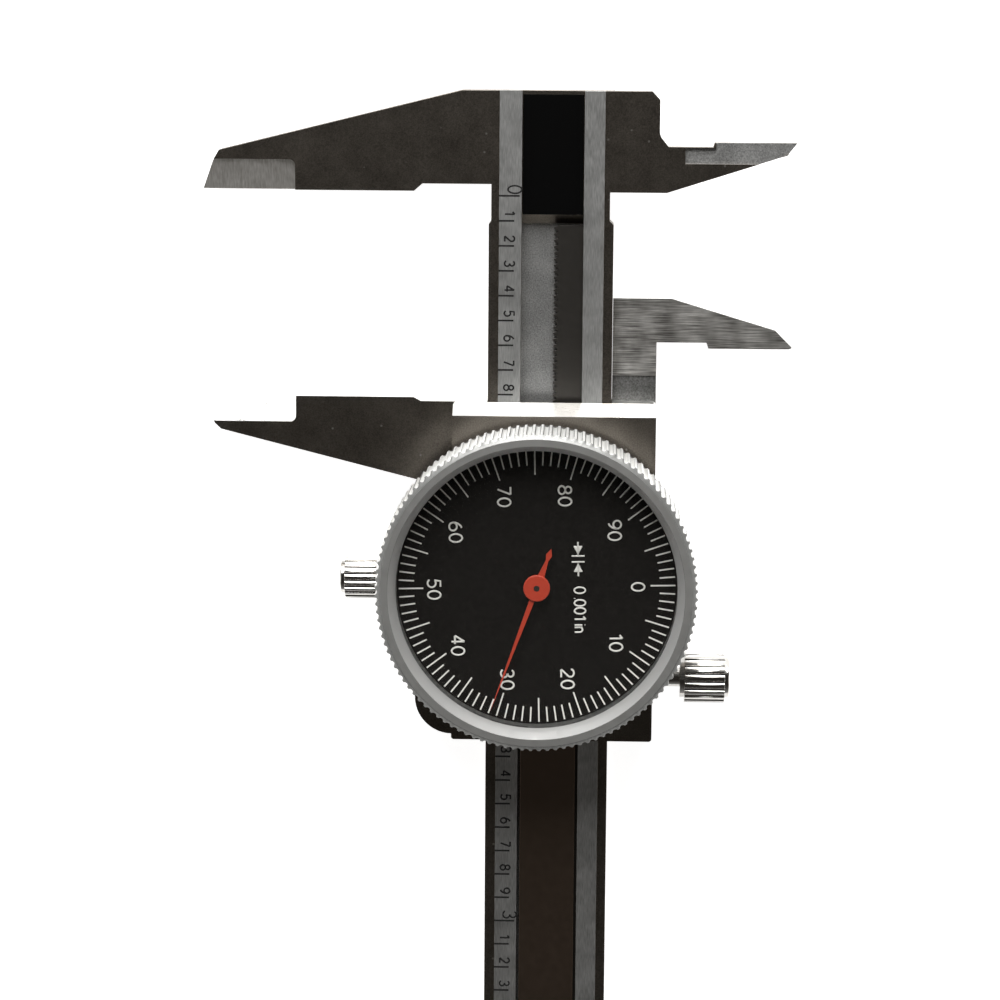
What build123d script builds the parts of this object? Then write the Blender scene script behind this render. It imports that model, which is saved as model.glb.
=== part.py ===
"""Dial caliper, 0 to 4 in, built from separate pieces at their real size (mm).

X is the direction in which the jaws open, Y points to the inside jaws and Z to the reader.
The origin lies on the beam's centreline, in the plane of the fixed outside measuring face
and in the plane of the head's back.
"""

from build123d import *
import math
import os

# Reading and travel
opening = 21.095
measuring_range = 101.6
inch = 25.4
running_gap = 0.05
piece_gap = 0.10

# How far joined outlines lap into each other, and how far a cut runs past its piece
lap = 0.5
past = 1.0

# Beam section
beam_width = 12.7
beam_thickness = 3.2
rail_rise = 0.2
rail_margin_left = 1.05
rail_margin_right = 0.96
rail_left_inner = -3.0
rail_right_inner = 3.3
groove_depth = 2.0
beam_back_relief = 0.05
beam_tail = 3.2
stop_allowance = 1.1
stop_height = 1.0
stop_screw_depth = 2.0
stop_screw_inset = 2.1
stop_head_radius = 1.1
stop_chamfer = 0.25
stop_slot_width = 0.25

# Head and fixed jaws
head_length = 10.2
head_corner_length = 0.85
head_corner_width = 0.8
jaw_reach = 35.55
jaw_slope_start = 9.1
jaw_tip_width = 4.0
jaw_tip_corner = 1.75
jaw_tip_facet_width = 1.1
jaw_tip_facet_length = 1.1
jaw_notch_outer = 13.95
jaw_notch_inner = 13.1
jaw_notch_depth = 0.75
neck_inset_left = 0.25
neck_inset_right = 0.4
neck_end = 3.3
neck_back_end = 2.0
inside_jaw_reach = 24.8
inside_edge = -5.1
inside_root = 10.9
inside_root_end = -5.75
inside_neck = -4.65
inside_neck_start = 11.8
inside_neck_fillet = 1.2
inside_shoulder = 16.3
inside_shoulder_rise = 0.15
inside_tip_width = 1.25
inside_tip_length = 1.0
inside_face_start = 11.7
half_jaw_gap = 0.15
inside_relief_depth = 0.35
inside_relief_edge = -2.95
inside_relief_start = 13.5
inside_relief_tip = 22.1
relief_length = 9.5
relief_width = 3.15
moving_relief_width = 2.75
relief_back_step = 0.25
relief_edge_step = 1.2
relief_corner = 0.6
label_floor_depth = 0.8
label_thickness = 0.3
label_inset = 0.4
label_end = 2.3

# Rack and gear train
rack_pitch = inch / 40
rack_pinion_teeth = 16
main_gear_teeth = 48
centre_pinion_teeth = 12
pressure_angle = 20
addendum_share = 0.75
dedendum_share = 1.05
tooth_share = 0.44
tip_thinning = 1.25
root_thinning = 0.6
foot_share = 0.97
rack_start = 3.4
rack_height = 1.1
rack_end_allowance = 6.0
rack_pitch_line = 0.46
pin_inset = 5.0
pin_count = 4
pin_cover = 0.4
gear_thickness = 0.4
gear_wall_gap = 0.35
gear_floor_gap = 0.5
gear_windows = 5
gear_window_reach = 2.9
gear_window_radius = 0.9
take_up_turn = 0.3
spring_radius = 1.7
spring_wire = 0.3

# Slider
slider_length = 35.4
index_offset = 0.4
slider_shoulder_left = 3.5
slider_shoulder_right = 4.55
slider_corner = 0.3
web_thickness = 1.25
plate_thickness = 2.15
bevel_length = 1.15
bevel_lip = 0.15
moving_jaw_root = 9.5
moving_tip_taper = 0.5
moving_inside_top = 10.2
moving_inside_shoulder = 12.4
moving_inside_bend = (-7.05, 23.0)
moving_inside_facet = (0.15, 0.3)
moving_inside_neck = -5.7
moving_inside_neck_end = 16.0
moving_inside_neck_rise = 0.2
moving_inside_lap = 2.0
inside_step_start = -2.25
inside_step_depth = 0.15
gib_thickness = 0.75
gib_margin = 0.3
gib_inset = 1.5
gib_screw_reach = (8.0, 20.0)
gib_screw_slot = (1.6, 0.3)
gib_screw_slot_depth = 0.4
gib_screw_sink = 0.2
thumb_rest_radius = 3.9
thumb_rest_centre = 31.5
thumb_rest_thickness = 3.2
thumb_rest_flat = 5.0
thumb_rest_slope = 3.0

# Depth bar
depth_bar_width = 5.7
depth_bar_height = 0.7
depth_bar_start = 17.5
depth_bar_rack_gap = 0.1
depth_bar_tip_chamfer = 1.6
depth_bar_pad_length = 13.0
depth_bar_pad_inset = 0.5
depth_bar_pad_margin = 0.2
depth_screw_reach = (3.5, 10.5)
depth_screw_depth = 1.3

# Dial unit
dial_centre_x = 18.3
dial_centre_y = -1.0
bezel_radius = 16.2
bezel_height = 6.9
bezel_face_width = 0.72
bezel_teeth = 120
bezel_tooth_depth = 0.3
bezel_tooth_offset = 0.05
bezel_chamfer_height = 0.5
bezel_clearance = 0.2
bezel_cone_width = 0.73
housing_floor = 0.6
housing_cup_height = 1.5
drum_radius = 12.9
drum_wall = 1.6
drum_height = 4.2
skirt_room = 0.7
skirt_wall = 1.0
cup_room = 0.3
cup_wall = 1.0
window_lip = 0.4
ring_lift = 0.6
ring_flange_height = 1.0
snap_ring_thickness = 0.3
snap_ring_depth = 0.3
snap_ring_rim = 0.5
snap_ring_gap = 2.4
dial_thickness = 0.3
dial_gap = 0.2
dial_hole_radius = 1.0
crystal_thickness = 0.7
crystal_rise = 1.2

# Pointer
pointer_rise = 0.5
pointer_thickness = 0.2
pointer_tip_inset = 0.6
pointer_tail = 4.3
pointer_hub_radius = 1.35
pointer_hub_height = 0.4
pointer_hub_fillet = 0.1
pointer_half_width = 0.42
pointer_tail_share = 0.8
pointer_neck_half_width = 0.22
pointer_neck = 1.3
pointer_barb_half_width = 0.5
pointer_barb = 0.7

# Bridge over the gears
bridge_rise = 1.9
bridge_thickness = 0.8
bridge_wall_gap = 1.0
pillar_inset = 2.0
pillar_radius = 1.1

# Clamp screws
lock_screw_x = 29.35
side_screw_lift = 0.1
lock_knob_radius = 2.6
lock_knob_length = 4.15
lock_knob_gap = 3.4
lock_cap_radius = 2.1
cap_height = 0.5
cap_fillet = 0.2
lock_shank_radius = 1.0
lock_pad_length = 1.2
clamp_screw_rise = 0.5
clamp_knob_radius = 2.15
clamp_knob_length = 3.25
clamp_knob_gap = 0.25
clamp_cap_radius = 1.7
clamp_shank_radius = 0.7
clamp_shoe_length = 1.0
clamp_boss_drop = 1.2
clamp_boss_width = 4.0
clamp_boss_inset = 0.1
knob_flutes = 20
flute_radius = 0.22
flute_offset = 0.05
screw_free_gap = 0.12

# Small fasteners
plate_screw_radius = 0.8
plate_screw_head_radius = 1.4
plate_screw_depth = 1.4
plate_screw_slot = (0.4, 2.4)
plate_screw_slot_depth = 0.35
plate_screw_front = 3.4
plate_screw_back = 2.3
housing_screw_radius = 0.6
housing_screw_depth = 1.3
housing_screw_inset = 2.26
housing_screw_angle = 55
bridge_screw_radius = 0.5
bridge_screw_depth = 1.6
small_head_radius = 0.95
small_head_height = 0.5
small_head_slot = (2.4, 0.3)
pin_radius = 0.6
bush_radius = 0.9
centre_bush_depth = 1.0
arbor_radius = 0.5
pivot_radius = 0.3

# Beam and slider, worked out from the sizes above
half_beam = beam_width / 2
rail_left_outer = -half_beam + rail_margin_left
rail_right_outer = half_beam - rail_margin_right
neck_left = half_beam - neck_inset_left
neck_right = half_beam - neck_inset_right
rail_top = beam_thickness + rail_rise
groove_floor = rail_top - groove_depth
plate_bottom = rail_top + running_gap
plate_top = plate_bottom + plate_thickness
web_top = -running_gap
web_bottom = web_top - web_thickness
beam_end = measuring_range + slider_length + stop_allowance + beam_tail
slider_left = -half_beam - slider_shoulder_left
slider_right = half_beam + slider_shoulder_right
wall_inner_left = -half_beam - running_gap
gib_inner = half_beam + running_gap
gib_outer = gib_inner + gib_thickness
wall_inner_right = gib_outer + running_gap
gib_height = beam_thickness - gib_margin - piece_gap * 2
inside_jaw_split = beam_thickness / 2 - half_jaw_gap / 2
label_left = rail_left_inner + piece_gap
label_right = rail_right_inner - piece_gap
label_floor = rail_top - label_floor_depth
depth_bar_y = (rail_left_inner + rail_right_inner) / 2
rest_left = slider_left - thumb_rest_radius
rest_start = thumb_rest_centre - thumb_rest_flat
rest_slope_start = rest_start - thumb_rest_slope
rest_end = thumb_rest_centre + thumb_rest_radius

# Dial unit, worked out from the sizes above
drum_bore = drum_radius - drum_wall
ring_bore = drum_radius + running_gap
skirt_inner = drum_radius + skirt_room
skirt_outer = skirt_inner + skirt_wall
cup_inner = skirt_outer + cup_room
cup_outer = cup_inner + cup_wall
dial_window_radius = skirt_outer - window_lip
bezel_face_inner = dial_window_radius + bezel_cone_width
bezel_face_outer = bezel_face_inner + bezel_face_width
pointer_tip = dial_window_radius - pointer_tip_inset
housing_bottom = plate_top
housing_inside = housing_bottom + housing_floor
housing_cup_top = housing_bottom + housing_cup_height
drum_top = housing_bottom + drum_height
bezel_bottom = housing_cup_top + bezel_clearance
bezel_top = bezel_bottom + bezel_height
dial_bottom = drum_top + dial_gap
dial_height = dial_bottom + dial_thickness
crystal_bottom = dial_height + crystal_rise
crystal_top = crystal_bottom + crystal_thickness
ring_bottom = bezel_bottom + ring_lift
ring_flange_top = ring_bottom + ring_flange_height
snap_ring_bottom = ring_flange_top + piece_gap
skirt_bottom = housing_inside + piece_gap
pointer_bottom = dial_height + pointer_rise
bridge_bottom = housing_inside + bridge_rise
bridge_top = bridge_bottom + bridge_thickness
bridge_radius = drum_bore - bridge_wall_gap
pillar_reach = bridge_radius - pillar_inset

# Rack and gears, worked out from the sizes above
train_reach = main_gear_teeth + centre_pinion_teeth / 2 + addendum_share
train_module = (drum_bore - gear_wall_gap) / train_reach
rack_module = rack_pitch / math.pi
rack_pinion_radius = rack_pinion_teeth * rack_module / 2
main_gear_radius = main_gear_teeth * train_module / 2
centre_pinion_radius = centre_pinion_teeth * train_module / 2
arbor_spacing = main_gear_radius + centre_pinion_radius
arbor_y = rack_pitch_line - rack_pinion_radius
arbor_x = dial_centre_x - math.sqrt(arbor_spacing**2 - (arbor_y - dial_centre_y) ** 2)
rack_top = groove_floor + rack_height
rack_end = measuring_range + arbor_x + rack_end_allowance
rack_tooth_count = math.floor((rack_end - rack_start) / rack_pitch)
rack_root_line = rack_pitch_line + dedendum_share * rack_module
rack_tip_line = rack_pitch_line - addendum_share * rack_module
rack_half_tooth = rack_pitch * tooth_share / 2
rack_lean = math.tan(math.radians(pressure_angle))
rack_half_tip = rack_half_tooth - (rack_pitch_line - rack_tip_line) * rack_lean
rack_half_root = rack_half_tooth + (rack_root_line - rack_pitch_line) * rack_lean
pin_y = (rack_root_line + rail_right_inner) / 2
pin_spacing = (rack_end - rack_start - 2 * pin_inset) / (pin_count - 1)
pin_height = rack_top - pin_cover
pinion_bottom = groove_floor + running_gap
pinion_top = rack_top + running_gap
gear_bottom = housing_inside + gear_floor_gap
take_up_bottom = gear_bottom + gear_thickness + running_gap
depth_bar_bottom = rack_top + depth_bar_rack_gap
depth_bar_top = depth_bar_bottom + depth_bar_height

rack_points = [(rack_start, rail_right_inner)]
rack_points.append((rack_start, rack_root_line))
for number in range(rack_tooth_count):
    centre = rack_start + (number + 0.5) * rack_pitch
    rack_points.append((centre - rack_half_root, rack_root_line))
    rack_points.append((centre - rack_half_tip, rack_tip_line))
    rack_points.append((centre + rack_half_tip, rack_tip_line))
    rack_points.append((centre + rack_half_root, rack_root_line))
rack_points.append((rack_end, rack_root_line))
rack_points.append((rack_end, rail_right_inner))

# Clamp screws and small fasteners, worked out from the sizes above
dial_at = (opening + dial_centre_x, dial_centre_y)
arbor_at = (opening + arbor_x, arbor_y)
arbor_offset = (arbor_x - dial_centre_x, arbor_y - dial_centre_y)
lock_screw_z = beam_thickness / 2 + side_screw_lift
lock_pad_start = gib_outer + screw_free_gap
lock_pad_end = lock_pad_start + lock_pad_length
lock_knob_inner = slider_right + lock_knob_gap
clamp_screw_z = housing_bottom + clamp_screw_rise
clamp_boss_bottom = clamp_screw_z - clamp_boss_drop
clamp_boss_outer = bezel_radius - clamp_boss_inset
clamp_shoe_start = skirt_outer + screw_free_gap
clamp_shoe_end = clamp_shoe_start + clamp_shoe_length
clamp_knob_inner = bezel_radius + clamp_knob_gap
clamp_knob_outer = clamp_knob_inner + clamp_knob_length
plate_screw_cone = plate_screw_head_radius - plate_screw_radius
stop_head_cone = stop_head_radius - pin_radius
pin_places = [(rack_start + pin_inset + n * pin_spacing, pin_y) for n in range(pin_count)]
stop_screw_y = half_beam - stop_screw_inset
stop_screw_places = [(beam_end - beam_tail / 2, y) for y in (-stop_screw_y, stop_screw_y)]
plate_screw_places = [
    (x, y)
    for x in (plate_screw_front, slider_length - plate_screw_back)
    for y in ((slider_left + wall_inner_left) / 2, (slider_right + wall_inner_right) / 2)
]
gib_screw_places = [(x, lock_screw_z) for x in gib_screw_reach]
depth_screw_places = [(depth_bar_start + reach, depth_bar_y) for reach in depth_screw_reach]
housing_screw_reach = drum_bore - housing_screw_inset
housing_screw_turn = math.radians(housing_screw_angle)
housing_screw_grid = (
    2 * housing_screw_reach * math.cos(housing_screw_turn),
    2 * housing_screw_reach * math.sin(housing_screw_turn),
)
pillar_places = [(0, pillar_reach), (0, -pillar_reach), (pillar_reach, 0)]

# Angles of the toothed pieces at the reading above
rack_phase = ((opening + arbor_x - rack_start) / rack_pitch - 0.5) % 1
rack_pinion_turn = 90 + (rack_phase - 0.5) * 360 / rack_pinion_teeth
gear_line = math.degrees(math.atan2(dial_centre_y - arbor_y, dial_centre_x - arbor_x))
pointer_turn = 90 - 360 * opening / (inch / 10)
centre_pinion_turn = gear_line + 180 - 180 / centre_pinion_teeth


def slide_plane(z):
    """Horizontal plane at height z whose origin lies on the slider's measuring face."""
    return Plane((opening, 0, z))


def dial_plane(z):
    """Horizontal plane at height z, centred on the dial."""
    return Plane((dial_at[0], dial_at[1], z))


def arbor_plane(z, turn=0.0):
    """Horizontal plane at height z, centred on the rack arbor and turned by turn degrees."""
    direction = (math.cos(math.radians(turn)), math.sin(math.radians(turn)), 0)
    return Plane((arbor_at[0], arbor_at[1], z), x_dir=direction, z_dir=(0, 0, 1))


def centre_plane(z, turn=0.0):
    """Horizontal plane at height z, centred on the dial and turned by turn degrees."""
    direction = (math.cos(math.radians(turn)), math.sin(math.radians(turn)), 0)
    return Plane((dial_at[0], dial_at[1], z), x_dir=direction, z_dir=(0, 0, 1))


def side_plane(y):
    """Upright plane at the given y that faces +Y, with the slider's x and z as its axes."""
    return Plane((opening, y, 0), x_dir=(-1, 0, 0), z_dir=(0, 1, 0))


def left_plane(y, x=opening):
    """Upright plane through x and y that faces -Y, with x and z as its axes."""
    return Plane((x, y, 0), x_dir=(1, 0, 0), z_dir=(0, -1, 0))


def relief_plane(face_x, back):
    """Plane of a jaw tip's ground relief, which slopes down to the measuring face at face_x.

    Its origin lies on the relief's back edge, at back from the measuring face, and at the
    relief's root. Its x axis points along +X, and its y axis along +Y.
    """
    slope = (relief_edge_step - relief_back_step) / back
    origin = (face_x + back, relief_length - jaw_reach, beam_thickness - relief_back_step)
    return Plane(origin, x_dir=(1, 0, slope), z_dir=(-slope, 0, 1))


def clamp_plane(reach):
    """Upright plane facing -Y at this distance from the dial's centre, on the clamp screw."""
    return Plane((dial_at[0], dial_at[1] - reach, clamp_screw_z), x_dir=(1, 0, 0), z_dir=(0, -1, 0))


def tooth_outline(teeth, module):
    """Points of one gear tooth on the +X axis, with straight flanks and thinned for backlash."""
    pitch_radius = teeth * module / 2
    tip = pitch_radius + addendum_share * module
    root = pitch_radius - dedendum_share * module
    half = math.pi * tooth_share / teeth
    lean = math.tan(math.radians(pressure_angle))
    tip_half = half - (tip - pitch_radius) * lean / pitch_radius * tip_thinning
    root_half = half + (pitch_radius - root) * lean / pitch_radius * root_thinning
    foot = root * foot_share
    return [
        (foot * math.cos(root_half), -foot * math.sin(root_half)),
        (pitch_radius * math.cos(half), -pitch_radius * math.sin(half)),
        (tip * math.cos(tip_half), -tip * math.sin(tip_half)),
        (tip * math.cos(tip_half), tip * math.sin(tip_half)),
        (pitch_radius * math.cos(half), pitch_radius * math.sin(half)),
        (foot * math.cos(root_half), foot * math.sin(root_half)),
    ]


def gear_sketch(teeth, module):
    """Add a gear's outline to the sketch in hand, with one tooth on the local +X axis."""
    Circle(teeth * module / 2 - dedendum_share * module)
    with PolarLocations(0, teeth):
        Polygon(*tooth_outline(teeth, module), align=None)


def fluted_circle(radius):
    """Add a circle with flutes around its edge to the sketch in hand."""
    Circle(radius)
    with PolarLocations(radius + flute_offset, knob_flutes):
        Circle(flute_radius, mode=Mode.SUBTRACT)


def save(builder, name):
    """Label a finished piece and write it to its own STEP file."""
    builder.part.label = name
    export_step(builder.part, f"parts/{name}.step")


os.makedirs("parts", exist_ok=True)

# ---------------------------------------------------------------- beam and its fittings

with BuildPart() as beam:
    with BuildSketch(Plane.XY.offset(beam_back_relief)):
        with BuildLine():
            Polyline(
                (-head_length, -half_beam),
                (-jaw_notch_depth, -half_beam),
                (-jaw_notch_depth, -neck_left),
                (neck_end - neck_inset_left, -neck_left),
                (neck_end, -half_beam),
                (beam_end, -half_beam),
                (beam_end, half_beam),
                (neck_end, half_beam),
                (neck_end - neck_inset_right, neck_right),
                (0, neck_right),
                (0, half_beam),
                (-head_length, half_beam),
                close=True,
            )
        make_face()
    extrude(amount=beam_thickness - beam_back_relief)
    with BuildSketch(Plane.XY):
        with BuildLine():
            Polyline(
                (-head_length, half_beam),
                (-head_length, -jaw_slope_start),
                (-jaw_tip_width, -(jaw_reach - jaw_tip_corner)),
                (-jaw_tip_width + jaw_tip_facet_length, -jaw_reach + jaw_tip_facet_width),
                (0, -jaw_reach),
                (0, -jaw_notch_outer),
                (-jaw_notch_depth, -jaw_notch_inner),
                (-jaw_notch_depth, -neck_left),
                (neck_back_end, -neck_left),
                (neck_back_end, neck_right),
                (0, neck_right),
                (0, half_beam),
                close=True,
            )
        make_face()
    extrude(amount=beam_thickness)
    with BuildSketch(Plane.XY.offset(beam_thickness - inside_jaw_split)):
        with BuildLine():
            Polyline(
                (-head_length, half_beam - lap),
                (-head_length, inside_root - head_corner_width),
                (-head_length + head_corner_length, inside_root),
                (inside_root_end, inside_root),
                (inside_neck, inside_neck_start),
                (inside_neck, inside_shoulder),
                (inside_edge, inside_shoulder + inside_shoulder_rise),
                (inside_edge, inside_jaw_reach),
                (inside_edge + inside_tip_width, inside_jaw_reach - inside_tip_length),
                (0, inside_face_start),
                (0, half_beam - lap),
                close=True,
            )
        make_face()
    extrude(amount=inside_jaw_split)
    upright_edges = beam.edges().filter_by(Axis.Z)
    root_corner = upright_edges.sort_by_distance((inside_root_end, inside_root, beam_thickness))[0]
    fillet(root_corner, radius=inside_neck_fillet)
    with BuildSketch(Plane.XY.offset(beam_thickness)):
        with Locations((-head_length, rail_left_outer)):
            Rectangle(
                beam_end + head_length,
                rail_left_inner - rail_left_outer,
                align=(Align.MIN, Align.MIN),
            )
        with Locations((-head_length, rail_right_inner)):
            Rectangle(
                beam_end + head_length,
                rail_right_outer - rail_right_inner,
                align=(Align.MIN, Align.MIN),
            )
    extrude(amount=rail_rise)
    with BuildSketch(Plane.XZ.offset(-rail_right_inner)):
        with BuildLine():
            Polyline(
                (-head_length - past, beam_thickness + past),
                (-head_length - past, label_floor),
                (label_end, label_floor),
                (rack_start - piece_gap, groove_floor),
                (beam_end + past, groove_floor),
                (beam_end + past, beam_thickness + past),
                close=True,
            )
        make_face()
    extrude(amount=rail_right_inner - rail_left_inner, mode=Mode.SUBTRACT)
    with BuildSketch(relief_plane(0, -relief_width)) as fixed_relief:
        Rectangle(relief_width + past, relief_length + past, align=(Align.MIN, Align.MAX))
        fillet(fixed_relief.vertices().sort_by_distance((0, 0, 0))[0], radius=relief_corner)
    extrude(amount=beam_thickness, mode=Mode.SUBTRACT)
    with BuildSketch(Plane.XY.offset(beam_thickness)):
        with BuildLine():
            Polyline(
                (inside_edge - piece_gap, inside_jaw_reach + past),
                (inside_relief_edge, inside_relief_tip),
                (inside_relief_edge, inside_relief_start),
                (inside_neck + piece_gap, inside_relief_start),
                (inside_neck + piece_gap, inside_shoulder + inside_shoulder_rise * 2),
                (inside_edge - piece_gap, inside_shoulder + inside_shoulder_rise * 2),
                close=True,
            )
        make_face()
    extrude(amount=-inside_relief_depth, mode=Mode.SUBTRACT)
    with BuildSketch(Plane.XY):
        with Locations(*pin_places):
            Circle(pin_radius)
    extrude(amount=groove_floor, mode=Mode.SUBTRACT)
    with BuildSketch(Plane.XY.offset(rail_top)):
        with Locations(*stop_screw_places):
            Circle(pin_radius)
    extrude(amount=-stop_screw_depth, mode=Mode.SUBTRACT)
save(beam, "beam")

with BuildPart() as nameplate_label:
    with BuildSketch(Plane.XY.offset(label_floor)):
        with Locations((label_inset - head_length, label_left)):
            Rectangle(
                head_length - label_inset + label_end,
                label_right - label_left,
                align=(Align.MIN, Align.MIN),
            )
    extrude(amount=label_thickness)
save(nameplate_label, "nameplate_label")

with BuildPart() as rack:
    with BuildSketch(Plane.XY.offset(groove_floor)):
        with BuildLine():
            Polyline(*rack_points, close=True)
        make_face()
    extrude(amount=rack_height)
    with BuildSketch(Plane.XY.offset(groove_floor)):
        with Locations(*pin_places):
            Circle(pin_radius)
    extrude(amount=pin_height - groove_floor, mode=Mode.SUBTRACT)
save(rack, "rack")

with BuildPart() as rack_pins:
    with BuildSketch(Plane.XY.offset(beam_back_relief)):
        with Locations(*pin_places):
            Circle(pin_radius)
    extrude(amount=pin_height - beam_back_relief)
save(rack_pins, "rack_pins")

with BuildPart() as beam_end_stop:
    with BuildSketch(Plane.XY.offset(rail_top)):
        with Locations((beam_end - beam_tail, 0)):
            Rectangle(beam_tail, beam_width, align=(Align.MIN, Align.CENTER))
        with Locations(*stop_screw_places):
            Circle(pin_radius, mode=Mode.SUBTRACT)
    extrude(amount=stop_height)
    stop_rim = beam_end_stop.faces().sort_by(Axis.Z)[-1].outer_wire().edges()
    chamfer(stop_rim, length=stop_chamfer)
    with Locations(*[(x, y, rail_top + stop_height) for x, y in stop_screw_places]):
        CounterSinkHole(pin_radius, stop_head_radius, counter_sink_angle=90)
save(beam_end_stop, "beam_end_stop")

with BuildPart() as end_stop_screws:
    with BuildSketch(Plane.XY.offset(rail_top - stop_screw_depth)):
        with Locations(*stop_screw_places):
            Circle(pin_radius)
    extrude(amount=stop_screw_depth + stop_height - stop_head_cone)
    with BuildSketch(Plane.XY.offset(rail_top + stop_height - stop_head_cone)):
        with Locations(*stop_screw_places):
            Circle(pin_radius)
    extrude(amount=stop_head_cone, taper=-45)
    with BuildSketch(Plane.XY.offset(rail_top + stop_height)):
        with Locations(*stop_screw_places):
            Rectangle(stop_slot_width, 2 * stop_head_radius + piece_gap)
    extrude(amount=-stop_slot_width, mode=Mode.SUBTRACT)
save(end_stop_screws, "end_stop_screws")

# ---------------------------------------------------------------- slider

with BuildPart() as slider_frame:
    with BuildSketch(slide_plane(web_bottom)):
        with Locations((index_offset, slider_left)):
            Rectangle(
                slider_length - index_offset,
                slider_right - slider_left,
                align=(Align.MIN, Align.MIN),
            )
    extrude(amount=plate_bottom - web_bottom)
    frame_corners = slider_frame.edges().filter_by(Axis.Z)
    fillet(frame_corners, radius=slider_corner)
    with BuildSketch(slide_plane(0)):
        with BuildLine():
            Polyline(
                (0, -jaw_reach),
                (jaw_tip_width - jaw_tip_facet_length, -jaw_reach + jaw_tip_facet_width),
                (jaw_tip_width - moving_tip_taper, -(jaw_reach - jaw_tip_corner)),
                (moving_jaw_root, slider_left),
                (moving_jaw_root, wall_inner_left - lap),
                (index_offset, wall_inner_left - lap),
                (index_offset, -jaw_notch_outer + jaw_notch_depth),
                (0, -jaw_notch_outer),
                close=True,
            )
        make_face()
    extrude(amount=beam_thickness)
    with BuildSketch(slide_plane(0)):
        with BuildLine():
            Polyline(
                (rest_end, slider_left + past),
                (rest_slope_start, slider_left + past),
                (rest_slope_start, slider_left),
                (rest_start, rest_left),
                (thumb_rest_centre, rest_left),
            )
            CenterArc(
                (thumb_rest_centre, slider_left),
                thumb_rest_radius,
                270,
                90,
            )
            Line((rest_end, slider_left), (rest_end, slider_left + past))
        make_face()
    extrude(amount=thumb_rest_thickness)
    with BuildSketch(slide_plane(0)):
        with BuildLine():
            Polyline(
                (-moving_inside_top, gib_inner),
                (-moving_inside_top, moving_inside_shoulder),
                moving_inside_bend,
                (inside_edge - moving_inside_facet[0], inside_jaw_reach),
                (inside_edge, inside_jaw_reach - moving_inside_facet[1]),
                (inside_edge, moving_inside_neck_end + moving_inside_neck_rise),
                (moving_inside_neck, moving_inside_neck_end),
                (moving_inside_neck, slider_right),
                (index_offset + moving_inside_lap, slider_right),
                (index_offset + moving_inside_lap, gib_inner),
                close=True,
            )
        make_face()
    extrude(amount=inside_jaw_split)
    with BuildSketch(slide_plane(inside_jaw_split)):
        with Locations((inside_step_start, gib_inner - past)):
            Rectangle(
                index_offset - inside_step_start,
                slider_right - gib_inner + 2 * past,
                align=(Align.MIN, Align.MIN),
            )
    extrude(amount=-inside_step_depth, mode=Mode.SUBTRACT)
    with BuildSketch(slide_plane(web_top)):
        with Locations((-past, wall_inner_left)):
            Rectangle(
                slider_length + 2 * past,
                gib_inner - wall_inner_left,
                align=(Align.MIN, Align.MIN),
            )
        with Locations((index_offset + gib_inset - piece_gap, gib_inner)):
            Rectangle(
                slider_length - index_offset - 2 * gib_inset + 2 * piece_gap,
                wall_inner_right - gib_inner,
                align=(Align.MIN, Align.MIN),
            )
    extrude(amount=plate_bottom - web_top + past, mode=Mode.SUBTRACT)
    with BuildSketch(relief_plane(opening, moving_relief_width)) as moving_relief:
        Rectangle(moving_relief_width + past, relief_length + past, align=(Align.MAX, Align.MAX))
        fillet(moving_relief.vertices().sort_by_distance((0, 0, 0))[0], radius=relief_corner)
    extrude(amount=beam_thickness, mode=Mode.SUBTRACT)
    with Locations(Plane((opening, 0, web_bottom), x_dir=(1, 0, 0), z_dir=(0, 0, -1))):
        with Locations(*[(x, -y) for x, y in plate_screw_places]):
            CounterSinkHole(plate_screw_radius, plate_screw_head_radius, counter_sink_angle=90)
    with BuildSketch(side_plane(slider_right)):
        with Locations(*[(-x, z) for x, z in gib_screw_places]):
            Circle(plate_screw_radius)
        with Locations((-lock_screw_x, lock_screw_z)):
            Circle(lock_shank_radius + running_gap)
    extrude(amount=-(slider_right - wall_inner_right + lap), mode=Mode.SUBTRACT)
save(slider_frame, "slider_frame")

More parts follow.
